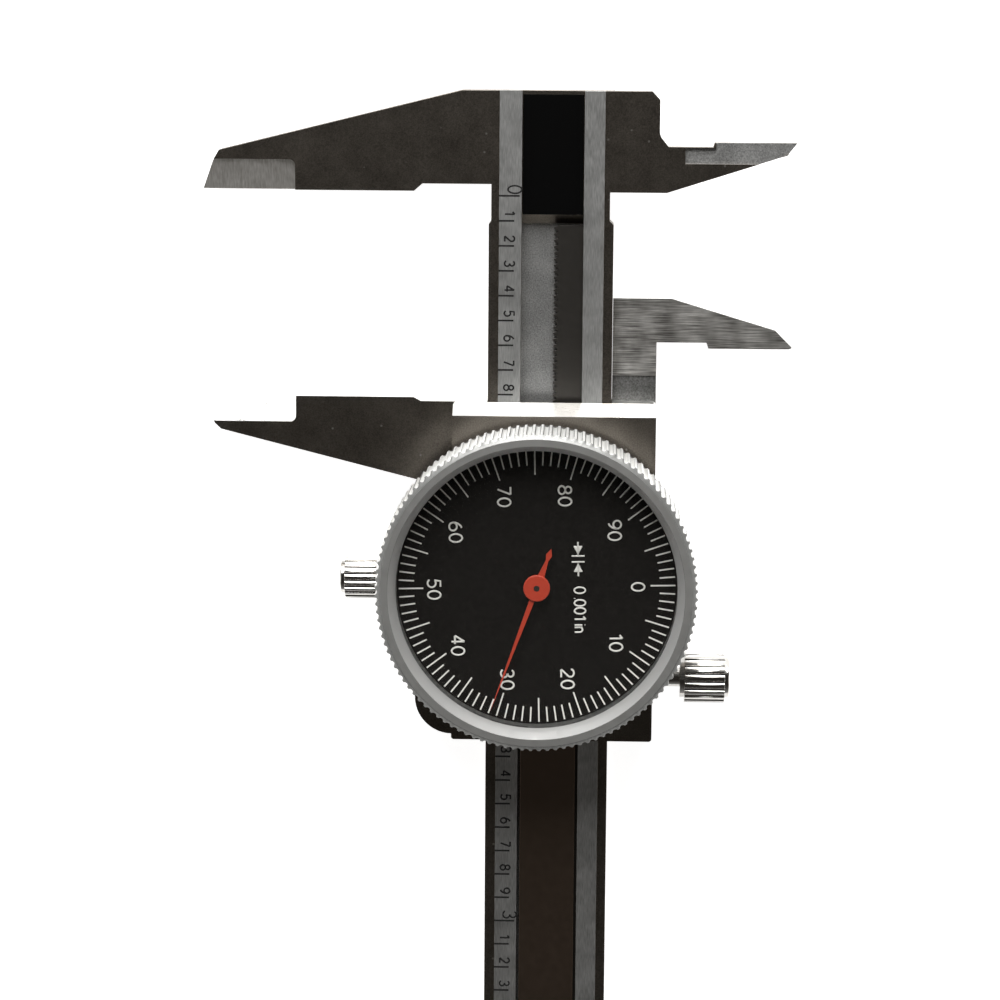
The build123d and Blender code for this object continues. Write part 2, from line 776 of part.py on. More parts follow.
with BuildPart() as slider_front_plate:
    with BuildSketch(slide_plane(plate_bottom)):
        with Locations((index_offset, slider_left)):
            Rectangle(
                slider_length - index_offset,
                slider_right - slider_left,
                align=(Align.MIN, Align.MIN),
            )
    extrude(amount=plate_thickness)
    plate_corners = slider_front_plate.edges().filter_by(Axis.Z)
    fillet(plate_corners, radius=slider_corner)
    with BuildSketch(left_plane(slider_right + past)):
        with BuildLine():
            Polyline(
                (index_offset - piece_gap, plate_bottom + bevel_lip),
                (index_offset, plate_bottom + bevel_lip),
                (index_offset + bevel_length, plate_top),
                (index_offset + bevel_length, plate_top + piece_gap),
                (index_offset - piece_gap, plate_top + piece_gap),
                close=True,
            )
        make_face()
    extrude(amount=slider_right - slider_left + 2 * past, mode=Mode.SUBTRACT)
    with BuildSketch(slide_plane(depth_bar_top)):
        with Locations((depth_bar_start + depth_bar_pad_inset, depth_bar_y)):
            Rectangle(
                depth_bar_pad_length,
                depth_bar_width - 2 * depth_bar_pad_margin,
                align=(Align.MIN, Align.CENTER),
            )
    extrude(amount=plate_bottom - depth_bar_top)
    with BuildSketch(slide_plane(plate_bottom)):
        with Locations(*plate_screw_places):
            Circle(plate_screw_radius)
    extrude(amount=plate_screw_depth, mode=Mode.SUBTRACT)
    with BuildSketch(slide_plane(depth_bar_top)):
        with Locations(*depth_screw_places):
            Circle(pin_radius)
    extrude(amount=depth_screw_depth, mode=Mode.SUBTRACT)
    with BuildSketch(slide_plane(plate_top)):
        with Locations((arbor_x, arbor_y)):
            Circle(bush_radius)
    extrude(amount=-plate_thickness, mode=Mode.SUBTRACT)
    with BuildSketch(slide_plane(plate_top)):
        with Locations((dial_centre_x, dial_centre_y)):
            Circle(bush_radius)
    extrude(amount=-centre_bush_depth, mode=Mode.SUBTRACT)
    with BuildSketch(dial_plane(plate_top)):
        with GridLocations(*housing_screw_grid, 2, 2):
            Circle(housing_screw_radius)
    extrude(amount=-housing_screw_depth, mode=Mode.SUBTRACT)
save(slider_front_plate, "slider_front_plate")

with BuildPart() as plate_screws:
    screw_foot = Plane((opening, 0, web_bottom), x_dir=(1, 0, 0), z_dir=(0, 0, 1))
    with BuildSketch(screw_foot):
        with Locations(*plate_screw_places):
            Circle(plate_screw_head_radius)
    extrude(amount=plate_screw_cone, taper=45)
    with BuildSketch(screw_foot.offset(plate_screw_cone)):
        with Locations(*plate_screw_places):
            Circle(plate_screw_radius)
    extrude(amount=plate_bottom + plate_screw_depth - web_bottom - plate_screw_cone)
    with BuildSketch(screw_foot):
        with Locations(*plate_screw_places):
            Rectangle(*plate_screw_slot)
    extrude(amount=plate_screw_slot_depth, mode=Mode.SUBTRACT)
save(plate_screws, "plate_screws")

with BuildPart() as gib:
    with BuildSketch(slide_plane(gib_margin)):
        with Locations((index_offset + gib_inset, gib_inner)):
            Rectangle(
                slider_length - index_offset - 2 * gib_inset,
                gib_thickness,
                align=(Align.MIN, Align.MIN),
            )
    extrude(amount=gib_height)
save(gib, "gib")

with BuildPart() as gib_set_screws:
    with BuildSketch(side_plane(gib_outer)):
        with Locations(*[(-x, z) for x, z in gib_screw_places]):
            Circle(plate_screw_radius)
    extrude(amount=slider_right - gib_outer - gib_screw_sink)
    with BuildSketch(side_plane(slider_right - gib_screw_sink)):
        with Locations(*[(-x, z) for x, z in gib_screw_places]):
            Rectangle(*gib_screw_slot)
    extrude(amount=-gib_screw_slot_depth, mode=Mode.SUBTRACT)
save(gib_set_screws, "gib_set_screws")

with BuildPart() as depth_bar:
    with BuildSketch(slide_plane(depth_bar_bottom)):
        with Locations((depth_bar_start, depth_bar_y)):
            Rectangle(
                beam_end - depth_bar_start,
                depth_bar_width,
                align=(Align.MIN, Align.CENTER),
            )
    extrude(amount=depth_bar_height)
    bar_tip = depth_bar.edges().filter_by(Axis.Z).group_by(Axis.X)[-1]
    chamfer(bar_tip.sort_by(Axis.Y)[-1], length=depth_bar_tip_chamfer)
    with BuildSketch(slide_plane(depth_bar_bottom)):
        with Locations(*depth_screw_places):
            Circle(pin_radius)
    extrude(amount=depth_bar_height, mode=Mode.SUBTRACT)
save(depth_bar, "depth_bar")

with BuildPart() as depth_bar_screws:
    with BuildSketch(slide_plane(depth_bar_bottom)):
        with Locations(*depth_screw_places):
            Circle(pin_radius)
    extrude(amount=depth_bar_height + depth_screw_depth)
save(depth_bar_screws, "depth_bar_screws")

# ---------------------------------------------------------------- dial unit, fixed pieces

with BuildPart() as dial_housing:
    with BuildSketch(dial_plane(housing_bottom)):
        Circle(cup_outer)
    extrude(amount=housing_cup_height)
    with BuildSketch(dial_plane(housing_inside)):
        Circle(cup_inner)
        Circle(drum_radius, mode=Mode.SUBTRACT)
    extrude(amount=housing_cup_height, mode=Mode.SUBTRACT)
    with BuildSketch(dial_plane(housing_inside)):
        Circle(drum_radius)
    extrude(amount=drum_top - housing_inside)
    with BuildSketch(dial_plane(housing_inside)):
        Circle(drum_bore)
    extrude(amount=drum_height, mode=Mode.SUBTRACT)
    with BuildSketch(dial_plane(snap_ring_bottom)):
        Circle(drum_radius + past)
        Circle(drum_radius - snap_ring_depth, mode=Mode.SUBTRACT)
    extrude(amount=snap_ring_thickness, mode=Mode.SUBTRACT)
    with BuildSketch(dial_plane(clamp_boss_bottom)):
        with Locations((0, -clamp_boss_outer)):
            Rectangle(
                clamp_boss_width,
                clamp_boss_outer - cup_inner,
                align=(Align.CENTER, Align.MIN),
            )
    extrude(amount=housing_cup_top - clamp_boss_bottom)
    with BuildSketch(clamp_plane(clamp_boss_outer)):
        Circle(clamp_shank_radius + running_gap)
    extrude(amount=-(clamp_boss_outer - skirt_outer), mode=Mode.SUBTRACT)
    with BuildSketch(dial_plane(housing_bottom)):
        with Locations((0, 0), arbor_offset):
            Circle(bush_radius)
        with GridLocations(*housing_screw_grid, 2, 2):
            Circle(housing_screw_radius)
    extrude(amount=housing_floor, mode=Mode.SUBTRACT)
save(dial_housing, "dial_housing")

with BuildPart() as housing_screws:
    with BuildSketch(dial_plane(plate_top - housing_screw_depth)):
        with GridLocations(*housing_screw_grid, 2, 2):
            Circle(housing_screw_radius)
    extrude(amount=housing_screw_depth + housing_floor)
    with BuildSketch(dial_plane(housing_inside)):
        with GridLocations(*housing_screw_grid, 2, 2):
            Circle(small_head_radius)
            Rectangle(*small_head_slot, mode=Mode.SUBTRACT)
    extrude(amount=small_head_height)
save(housing_screws, "housing_screws")

with BuildPart() as bridge_pillars:
    with BuildSketch(dial_plane(housing_inside)):
        with Locations(*pillar_places):
            Circle(pillar_radius)
            Circle(bridge_screw_radius, mode=Mode.SUBTRACT)
    extrude(amount=bridge_bottom - housing_inside)
save(bridge_pillars, "bridge_pillars")

with BuildPart() as movement_bridge:
    with BuildSketch(dial_plane(bridge_bottom)):
        Circle(bridge_radius)
        with Locations(*pillar_places):
            Circle(bridge_screw_radius, mode=Mode.SUBTRACT)
        with Locations((0, 0), arbor_offset):
            Circle(bush_radius, mode=Mode.SUBTRACT)
    extrude(amount=bridge_thickness)
save(movement_bridge, "movement_bridge")

with BuildPart() as bridge_screws:
    with BuildSketch(dial_plane(bridge_top - bridge_screw_depth)):
        with Locations(*pillar_places):
            Circle(bridge_screw_radius)
    extrude(amount=bridge_screw_depth)
    with BuildSketch(dial_plane(bridge_top)):
        with Locations(*pillar_places):
            Circle(small_head_radius)
            Rectangle(*small_head_slot, mode=Mode.SUBTRACT)
    extrude(amount=small_head_height)
save(bridge_screws, "bridge_screws")

with BuildPart() as arbor_bushes:
    with BuildSketch(arbor_plane(plate_bottom)):
        Circle(bush_radius)
        Circle(arbor_radius + running_gap, mode=Mode.SUBTRACT)
    extrude(amount=housing_inside - plate_bottom)
    with BuildSketch(centre_plane(plate_top - centre_bush_depth)):
        Circle(bush_radius)
        Circle(arbor_radius + running_gap, mode=Mode.SUBTRACT)
    extrude(amount=housing_inside - plate_top + centre_bush_depth)
    with BuildSketch(arbor_plane(bridge_bottom)):
        Circle(bush_radius)
        Circle(pivot_radius + running_gap, mode=Mode.SUBTRACT)
    extrude(amount=bridge_thickness)
    with BuildSketch(centre_plane(bridge_bottom)):
        Circle(bush_radius)
        Circle(arbor_radius + running_gap, mode=Mode.SUBTRACT)
    extrude(amount=bridge_thickness)
save(arbor_bushes, "arbor_bushes")

with BuildPart() as bezel_snap_ring:
    with BuildSketch(dial_plane(snap_ring_bottom)):
        Circle(drum_radius + snap_ring_rim)
        Circle(drum_radius - snap_ring_depth, mode=Mode.SUBTRACT)
        with Locations((0, drum_radius)):
            Rectangle(snap_ring_gap, snap_ring_gap, mode=Mode.SUBTRACT)
    extrude(amount=snap_ring_thickness)
save(bezel_snap_ring, "bezel_snap_ring")

# ---------------------------------------------------------------- bezel, turns on the drum

with BuildPart() as bezel_ring:
    with BuildSketch(dial_plane(bezel_bottom)):
        Circle(bezel_radius)
        Circle(skirt_outer, mode=Mode.SUBTRACT)
        with PolarLocations(bezel_radius + bezel_tooth_offset, bezel_teeth):
            Circle(bezel_tooth_depth, mode=Mode.SUBTRACT)
    extrude(amount=dial_height - bezel_bottom)
    with BuildSketch(dial_plane(dial_height)):
        Circle(bezel_radius)
        Circle(dial_window_radius, mode=Mode.SUBTRACT)
        with PolarLocations(bezel_radius + bezel_tooth_offset, bezel_teeth):
            Circle(bezel_tooth_depth, mode=Mode.SUBTRACT)
    extrude(amount=bezel_top - dial_height)
    with BuildSketch(left_plane(dial_at[1], dial_at[0])):
        with BuildLine():
            Polyline(
                (bezel_face_outer, bezel_top + piece_gap),
                (bezel_face_outer, bezel_top),
                (bezel_radius + piece_gap, bezel_top - bezel_chamfer_height),
                (bezel_radius + piece_gap, bezel_top + piece_gap),
                close=True,
            )
        make_face()
        with BuildLine():
            Polyline(
                (0, crystal_top),
                (dial_window_radius, crystal_top),
                (bezel_face_inner, bezel_top),
                (bezel_face_inner, bezel_top + piece_gap),
                (0, bezel_top + piece_gap),
                close=True,
            )
        make_face()
    revolve(axis=Axis((dial_at[0], dial_at[1], 0), (0, 0, 1)), mode=Mode.SUBTRACT)
save(bezel_ring, "bezel_ring")

with BuildPart() as bezel_retaining_ring:
    with BuildSketch(left_plane(dial_at[1], dial_at[0])):
        with BuildLine():
            Polyline(
                (skirt_inner, skirt_bottom),
                (skirt_outer, skirt_bottom),
                (skirt_outer, dial_bottom),
                (skirt_inner, dial_bottom),
                (skirt_inner, ring_flange_top),
                (ring_bore, ring_flange_top),
                (ring_bore, ring_bottom),
                (skirt_inner, ring_bottom),
                close=True,
            )
        make_face()
    revolve(axis=Axis((dial_at[0], dial_at[1], 0), (0, 0, 1)))
save(bezel_retaining_ring, "bezel_retaining_ring")

with BuildPart() as dial_face:
    with BuildSketch(dial_plane(dial_bottom)):
        Circle(skirt_outer - piece_gap)
        Circle(dial_hole_radius, mode=Mode.SUBTRACT)
    extrude(amount=dial_thickness)
save(dial_face, "dial_face")

with BuildPart() as crystal:
    with BuildSketch(dial_plane(crystal_bottom)):
        Circle(dial_window_radius)
    extrude(amount=crystal_thickness)
save(crystal, "crystal")

# ---------------------------------------------------------------- gear train

with BuildPart() as rack_arbor:
    with BuildSketch(arbor_plane(pinion_bottom, rack_pinion_turn)):
        gear_sketch(rack_pinion_teeth, rack_module)
    extrude(amount=pinion_top - pinion_bottom)
    with BuildSketch(arbor_plane(pinion_top)):
        Circle(arbor_radius)
    extrude(amount=bridge_bottom - piece_gap - pinion_top)
    with BuildSketch(arbor_plane(bridge_bottom - piece_gap)):
        Circle(pivot_radius)
    extrude(amount=bridge_thickness + piece_gap)
save(rack_arbor, "rack_arbor")

with BuildPart() as main_gear:
    with BuildSketch(arbor_plane(gear_bottom, gear_line)):
        gear_sketch(main_gear_teeth, train_module)
        Circle(arbor_radius, mode=Mode.SUBTRACT)
        with PolarLocations(gear_window_reach, gear_windows):
            Circle(gear_window_radius, mode=Mode.SUBTRACT)
    extrude(amount=gear_thickness)
save(main_gear, "main_gear")

with BuildPart() as take_up_gear:
    with BuildSketch(arbor_plane(take_up_bottom, gear_line + take_up_turn)):
        gear_sketch(main_gear_teeth, train_module)
        Circle(arbor_radius, mode=Mode.SUBTRACT)
        with PolarLocations(gear_window_reach, gear_windows):
            Circle(gear_window_radius, mode=Mode.SUBTRACT)
    extrude(amount=gear_thickness)
save(take_up_gear, "take_up_gear")

with BuildPart() as take_up_spring:
    with BuildSketch(arbor_plane(take_up_bottom + gear_thickness)):
        Circle(spring_radius)
        Circle(spring_radius - spring_wire, mode=Mode.SUBTRACT)
        with Locations((spring_radius, 0)):
            Rectangle(3 * spring_wire, 2 * spring_wire, mode=Mode.SUBTRACT)
    extrude(amount=spring_wire)
save(take_up_spring, "take_up_spring")

with BuildPart() as centre_arbor:
    with BuildSketch(centre_plane(plate_top - centre_bush_depth + piece_gap)):
        Circle(arbor_radius)
    extrude(amount=gear_bottom - plate_top + centre_bush_depth - 2 * piece_gap)
    with BuildSketch(centre_plane(gear_bottom - piece_gap, centre_pinion_turn)):
        gear_sketch(centre_pinion_teeth, train_module)
    extrude(amount=take_up_bottom + gear_thickness - gear_bottom + 2 * piece_gap)
    with BuildSketch(centre_plane(take_up_bottom + gear_thickness + piece_gap)):
        Circle(arbor_radius)
    extrude(amount=pointer_bottom - take_up_bottom - gear_thickness - piece_gap)
    with BuildSketch(centre_plane(pointer_bottom)):
        Circle(pivot_radius)
    extrude(amount=pointer_hub_height)
save(centre_arbor, "centre_arbor")

with BuildPart() as pointer:
    with BuildSketch(centre_plane(pointer_bottom, pointer_turn)):
        with BuildLine():
            Polyline(
                (pointer_tip, 0),
                (pointer_hub_radius, pointer_half_width),
                (-pointer_hub_radius, pointer_half_width * pointer_tail_share),
                (pointer_neck - pointer_tail, pointer_neck_half_width),
                (pointer_barb - pointer_tail, pointer_barb_half_width),
                (-pointer_tail, 0),
                (pointer_barb - pointer_tail, -pointer_barb_half_width),
                (pointer_neck - pointer_tail, -pointer_neck_half_width),
                (-pointer_hub_radius, -pointer_half_width * pointer_tail_share),
                (pointer_hub_radius, -pointer_half_width),
                close=True,
            )
        make_face()
        Circle(pointer_hub_radius)
        Circle(pivot_radius, mode=Mode.SUBTRACT)
    extrude(amount=pointer_thickness)
    with BuildSketch(centre_plane(pointer_bottom + pointer_thickness)):
        Circle(pointer_hub_radius)
        Circle(pivot_radius, mode=Mode.SUBTRACT)
    extrude(amount=pointer_hub_height - pointer_thickness)
    hub_rim = pointer.faces().sort_by(Axis.Z)[-1].outer_wire().edges()
    fillet(hub_rim, radius=pointer_hub_fillet)
save(pointer, "pointer")

# ---------------------------------------------------------------- clamp screws

with BuildPart() as lock_screw_pad:
    with BuildSketch(side_plane(lock_pad_start)):
        with Locations((-lock_screw_x, lock_screw_z)):
            Circle(lock_shank_radius)
    extrude(amount=lock_pad_length)
save(lock_screw_pad, "lock_screw_pad")

with BuildPart() as lock_screw:
    with BuildSketch(side_plane(lock_pad_end)):
        with Locations((-lock_screw_x, lock_screw_z)):
            Circle(lock_shank_radius)
    extrude(amount=lock_knob_inner - cap_height - lock_pad_end)
    with BuildSketch(side_plane(lock_knob_inner - cap_height)):
        with Locations((-lock_screw_x, lock_screw_z)):
            Circle(lock_cap_radius)
    extrude(amount=lock_knob_length + 2 * cap_height)
    knob_end = lock_screw.faces().sort_by(Axis.Y)[-1].edges()
    fillet(knob_end, radius=cap_fillet)
    with BuildSketch(side_plane(lock_knob_inner)):
        with Locations((-lock_screw_x, lock_screw_z)):
            fluted_circle(lock_knob_radius)
    extrude(amount=lock_knob_length)
save(lock_screw, "lock_screw")

with BuildPart() as bezel_clamp_shoe:
    with BuildSketch(clamp_plane(clamp_shoe_start)):
        Circle(clamp_shank_radius)
    extrude(amount=clamp_shoe_length)
save(bezel_clamp_shoe, "bezel_clamp_shoe")

with BuildPart() as bezel_clamp_screw:
    with BuildSketch(clamp_plane(clamp_shoe_end)):
        Circle(clamp_shank_radius)
    extrude(amount=clamp_knob_inner - clamp_shoe_end)
    with BuildSketch(clamp_plane(clamp_knob_inner)):
        fluted_circle(clamp_knob_radius)
    extrude(amount=clamp_knob_length)
    with BuildSketch(clamp_plane(clamp_knob_outer)):
        Circle(clamp_cap_radius)
    extrude(amount=cap_height)
    cap_end = bezel_clamp_screw.faces().sort_by(Axis.Y)[0].edges()
    fillet(cap_end, radius=cap_fillet)
save(bezel_clamp_screw, "bezel_clamp_screw")
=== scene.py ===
"""Dial caliper: finishes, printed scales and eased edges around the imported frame."""

from __future__ import annotations

import logging
import math
from dataclasses import dataclass, field
from enum import Enum

import bpy
from mathutils import Matrix, Vector


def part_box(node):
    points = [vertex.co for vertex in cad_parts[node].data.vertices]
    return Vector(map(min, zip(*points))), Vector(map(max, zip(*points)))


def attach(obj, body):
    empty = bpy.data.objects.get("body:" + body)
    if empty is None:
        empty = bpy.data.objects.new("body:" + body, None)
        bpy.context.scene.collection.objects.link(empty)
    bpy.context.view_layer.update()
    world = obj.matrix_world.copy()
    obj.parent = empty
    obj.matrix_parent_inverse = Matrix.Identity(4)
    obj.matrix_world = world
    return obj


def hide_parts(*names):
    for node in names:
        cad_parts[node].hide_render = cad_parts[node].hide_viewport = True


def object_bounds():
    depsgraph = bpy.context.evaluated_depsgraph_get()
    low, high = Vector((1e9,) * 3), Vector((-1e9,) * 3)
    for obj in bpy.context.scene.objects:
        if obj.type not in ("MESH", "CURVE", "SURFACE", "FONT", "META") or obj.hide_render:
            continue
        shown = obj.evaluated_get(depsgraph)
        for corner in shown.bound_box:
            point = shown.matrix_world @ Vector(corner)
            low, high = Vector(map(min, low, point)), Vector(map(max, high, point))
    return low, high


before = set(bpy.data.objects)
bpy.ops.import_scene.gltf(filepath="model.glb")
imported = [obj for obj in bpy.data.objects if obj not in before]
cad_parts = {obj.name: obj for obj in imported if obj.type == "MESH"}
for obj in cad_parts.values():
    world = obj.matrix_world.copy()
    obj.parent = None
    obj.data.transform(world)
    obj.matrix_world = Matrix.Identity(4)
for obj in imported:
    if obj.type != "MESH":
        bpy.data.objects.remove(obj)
CAD_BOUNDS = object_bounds()

log = logging.getLogger("caliper")

MM = 0.001
INCH = 25.4 * MM
DIAL_AXIS = sum(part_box("dial_face"), Vector()) / 2

# How a copied piece is merged, and how its edges are eased.
MERGE_DISTANCE = 0.001 * MM
FLAT_ANGLE = math.radians(0.5)
SHARP_ANGLE = math.radians(35)
SMOOTH_ANGLE = math.radians(28)
EASING_STEPS = 2

WHITE = (1.0, 1.0, 1.0, 1.0)


# ---------------------------------------------------------------- small helpers


def hex_to_linear(code: str) -> tuple[float, float, float, float]:
    """Turn an sRGB hex colour into linear red, green, blue and alpha.

    Args:
        code: Six hex digits after a hash, such as "#8a8378".

    Returns:
        The linear colour, with alpha 1.
    """
    channels = [int(code[place : place + 2], 16) / 255 for place in (1, 3, 5)]
    linear = [c / 12.92 if c <= 0.04045 else ((c + 0.055) / 1.055) ** 2.4 for c in channels]
    return (linear[0], linear[1], linear[2], 1.0)


def add_node(
    tree: bpy.types.NodeTree,
    kind: str,
    settings: dict[str, object] | None = None,
    inputs: dict[str | int, object] | None = None,
) -> bpy.types.Node:
    """Add one shader node with its settings, values and links.

    Args:
        tree: The node tree that gets the node.
        kind: The node's type name.
        settings: Properties of the node itself.
        inputs: Socket name or number to a value, or to the socket that feeds it.

    Returns:
        The new node.
    """
    node = tree.nodes.new(kind)
    for name, value in (settings or {}).items():
        setattr(node, name, value)
    for name, value in (inputs or {}).items():
        if isinstance(value, bpy.types.NodeSocket):
            tree.links.new(value, node.inputs[name])
        else:
            node.inputs[name].default_value = value
    return node


def new_material(name: str) -> tuple[bpy.types.Material, bpy.types.NodeTree, bpy.types.Node]:
    """Make an empty node material with a principled shader on its output.

    Args:
        name: The finish's own name.

    Returns:
        The material, its node tree and its principled shader.
    """
    material = bpy.data.materials.new(name)
    material.use_nodes = True
    tree = material.node_tree
    tree.nodes.clear()
    shader = add_node(tree, "ShaderNodeBsdfPrincipled")
    add_node(tree, "ShaderNodeOutputMaterial", inputs={"Surface": shader.outputs["BSDF"]})
    return material, tree, shader


def select_only(*pieces: bpy.types.Object) -> None:
    """Deselect everything, then select these pieces and make the first one active."""
    bpy.ops.object.select_all(action="DESELECT")
    for piece in pieces:
        piece.select_set(True)
    bpy.context.view_layer.objects.active = pieces[0]


def settle(piece: bpy.types.Object) -> bpy.types.Object:
    """Move a piece's place into its mesh, so that its object sits at the origin."""
    piece.data.transform(piece.matrix_world)
    piece.matrix_world = Matrix.Identity(4)
    return piece


def joined(name: str, pieces: list[bpy.types.Object]) -> bpy.types.Object:
    """Join pieces into one mesh object under a new name.

    Args:
        name: The joined piece's name.
        pieces: Mesh objects with their places in their meshes.

    Returns:
        The joined piece.
    """
    select_only(*pieces)
    if len(pieces) > 1:
        bpy.ops.object.join()
    piece = bpy.context.view_layer.objects.active
    piece.name = name
    piece.data.name = name
    return piece


def dress(piece: bpy.types.Object, material: bpy.types.Material) -> None:
    """Give a piece one material all over."""
    piece.data.materials.clear()
    piece.data.materials.append(material)


def copied(node: str, name: str) -> bpy.types.Object:
    """Copy a node of the frame as a piece of its own, with its loose triangles merged.

    Args:
        node: The frame's node.
        name: The new piece's name.

    Returns:
        The copy, with its place in its mesh.
    """
    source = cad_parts[node]
    piece = source.copy()
    piece.data = source.data.copy()
    piece.name = name
    bpy.context.scene.collection.objects.link(piece)
    piece.parent = None
    piece.matrix_world = source.matrix_world.copy()
    settle(piece)
    select_only(piece)
    bpy.ops.object.mode_set(mode="EDIT")
    bpy.ops.mesh.select_all(action="SELECT")
    bpy.ops.mesh.remove_doubles(threshold=MERGE_DISTANCE)
    bpy.ops.mesh.dissolve_limited(angle_limit=FLAT_ANGLE)
    bpy.ops.object.mode_set(mode="OBJECT")
    return piece


def ease_edges(piece: bpy.types.Object, width: float) -> None:
    """Round a piece's sharp edges and keep its flats flat in the light.

    Args:
        piece: A merged mesh piece.
        width: How much comes off an edge.
    """
    select_only(piece)
    bevel = piece.modifiers.new("ease", "BEVEL")
    bevel.width = width
    bevel.segments = EASING_STEPS
    bevel.limit_method = "ANGLE"
    bevel.angle_limit = SHARP_ANGLE
    bpy.ops.object.modifier_apply(modifier="ease")
    bpy.ops.object.shade_smooth_by_angle(angle=SMOOTH_ANGLE)
    flats = piece.modifiers.new("flats", "WEIGHTED_NORMAL")
    flats.keep_sharp = True
    bpy.ops.object.modifier_apply(modifier="flats")


# ---------------------------------------------------------------- finishes


@dataclass(frozen=True)
class WorkedSteel:
    """Hardened stainless steel whose look depends on how its surface was worked.

    The grain is a stretched noise: one short side is a ground or brushed lay, three short
    sides are a blasted or satin surface. A wider cloud stands for handling and oil.
    """

    name: str
    dark: str
    light: str
    roughness: float
    grain_mm: tuple[float, float, float] = (0.13, 0.13, 0.13)
    relief: float = 0.10
    cloud_mm: float = 3.0
    cloud_share: float = 0.25
    specks: str = ""
    tone_low: float = 0.32
    tone_high: float = 0.68
    smoother: float = 0.04
    rougher: float = 0.05
    relief_depth: float = 0.02 * MM
    speck_spacing: float = 2.2 * MM
    speck_core: float = 0.03
    speck_edge: float = 0.07
    speck_share: float = 0.8

    def material(self) -> bpy.types.Material:
        """Build the steel with its lay, its clouds and any bright specks."""
        material, tree, shader = new_material(self.name)
        place = add_node(tree, "ShaderNodeTexCoord").outputs["Object"]
        stretch = tuple(1 / (side * MM) for side in self.grain_mm)
        lay = add_node(tree, "ShaderNodeMapping", inputs={"Vector": place, "Scale": stretch})
        grain = add_node(
            tree,
            "ShaderNodeTexNoise",
            inputs={"Vector": lay.outputs["Vector"], "Scale": 1.0, "Detail": 3.0},
        ).outputs["Fac"]
        cloud = add_node(
            tree,
            "ShaderNodeTexNoise",
            inputs={"Vector": place, "Scale": 1 / (self.cloud_mm * MM), "Detail": 2.0},
        ).outputs["Fac"]
        shares = {0: self.cloud_share, 2: grain, 3: cloud}
        tone = add_node(tree, "ShaderNodeMix", inputs=shares).outputs["Result"]
        spread = add_node(
            tree,
            "ShaderNodeMapRange",
            inputs={"Value": tone, "From Min": self.tone_low, "From Max": self.tone_high},
        ).outputs["Result"]
        shades = {0: spread, 6: hex_to_linear(self.dark), 7: hex_to_linear(self.light)}
        colour = add_node(tree, "ShaderNodeMix", {"data_type": "RGBA"}, shades).outputs[2]
        if self.specks:
            colour = self.specked(tree, place, colour)
        rough = add_node(
            tree,
            "ShaderNodeMapRange",
            inputs={
                "Value": spread,
                "To Min": self.roughness - self.smoother,
                "To Max": self.roughness + self.rougher,
            },
        )
        bump = add_node(
            tree,
            "ShaderNodeBump",
            inputs={"Height": grain, "Strength": self.relief, "Distance": self.relief_depth},
        )
        shader.inputs["Metallic"].default_value = 1.0
        tree.links.new(colour, shader.inputs["Base Color"])
        tree.links.new(rough.outputs["Result"], shader.inputs["Roughness"])
        tree.links.new(bump.outputs["Normal"], shader.inputs["Normal"])
        return material

    def specked(
        self, tree: bpy.types.NodeTree, place: bpy.types.NodeSocket, colour: bpy.types.NodeSocket
    ) -> bpy.types.NodeSocket:
        """Scatter bright specks, 0.1 to 0.2 mm across, over a colour: dust and tiny nicks.

        Args:
            tree: The material's node tree.
            place: Object coordinates, in metres.
            colour: The colour under the specks.

        Returns:
            The specked colour.
        """
        cells = add_node(
            tree, "ShaderNodeTexVoronoi", inputs={"Vector": place, "Scale": 1 / self.speck_spacing}
        )
        speck = add_node(
            tree,
            "ShaderNodeMapRange",
            inputs={
                "Value": cells.outputs["Distance"],
                "From Min": self.speck_core,
                "From Max": self.speck_edge,
                "To Min": self.speck_share,
                "To Max": 0.0,
            },
        )
        shades = {0: speck.outputs["Result"], 6: colour, 7: hex_to_linear(self.specks)}
        return add_node(tree, "ShaderNodeMix", {"data_type": "RGBA"}, shades).outputs[2]


@dataclass(frozen=True)
class PlainMetal:
    """A metal of one colour with a fine cloudy roughness, as left by polishing or plating."""

    name: str
    colour: str
    roughness: float
    spread: float = 0.05
    cloud_mm: float = 0.6
    smoothest: float = 0.02

    def material(self) -> bpy.types.Material:
        """Build the metal with its cloudy roughness."""
        material, tree, shader = new_material(self.name)
        place = add_node(tree, "ShaderNodeTexCoord")
        cloud = add_node(
            tree,
            "ShaderNodeTexNoise",
            inputs={
                "Vector": place.outputs["Object"],
                "Scale": 1 / (self.cloud_mm * MM),
                "Detail": 3.0,
            },
        )
        rough = add_node(
            tree,
            "ShaderNodeMapRange",
            inputs={
                "Value": cloud.outputs["Fac"],
                "To Min": max(self.smoothest, self.roughness - self.spread),
                "To Max": self.roughness + self.spread,
            },
        )
        shader.inputs["Base Color"].default_value = hex_to_linear(self.colour)
        shader.inputs["Metallic"].default_value = 1.0
        tree.links.new(rough.outputs["Result"], shader.inputs["Roughness"])
        return material


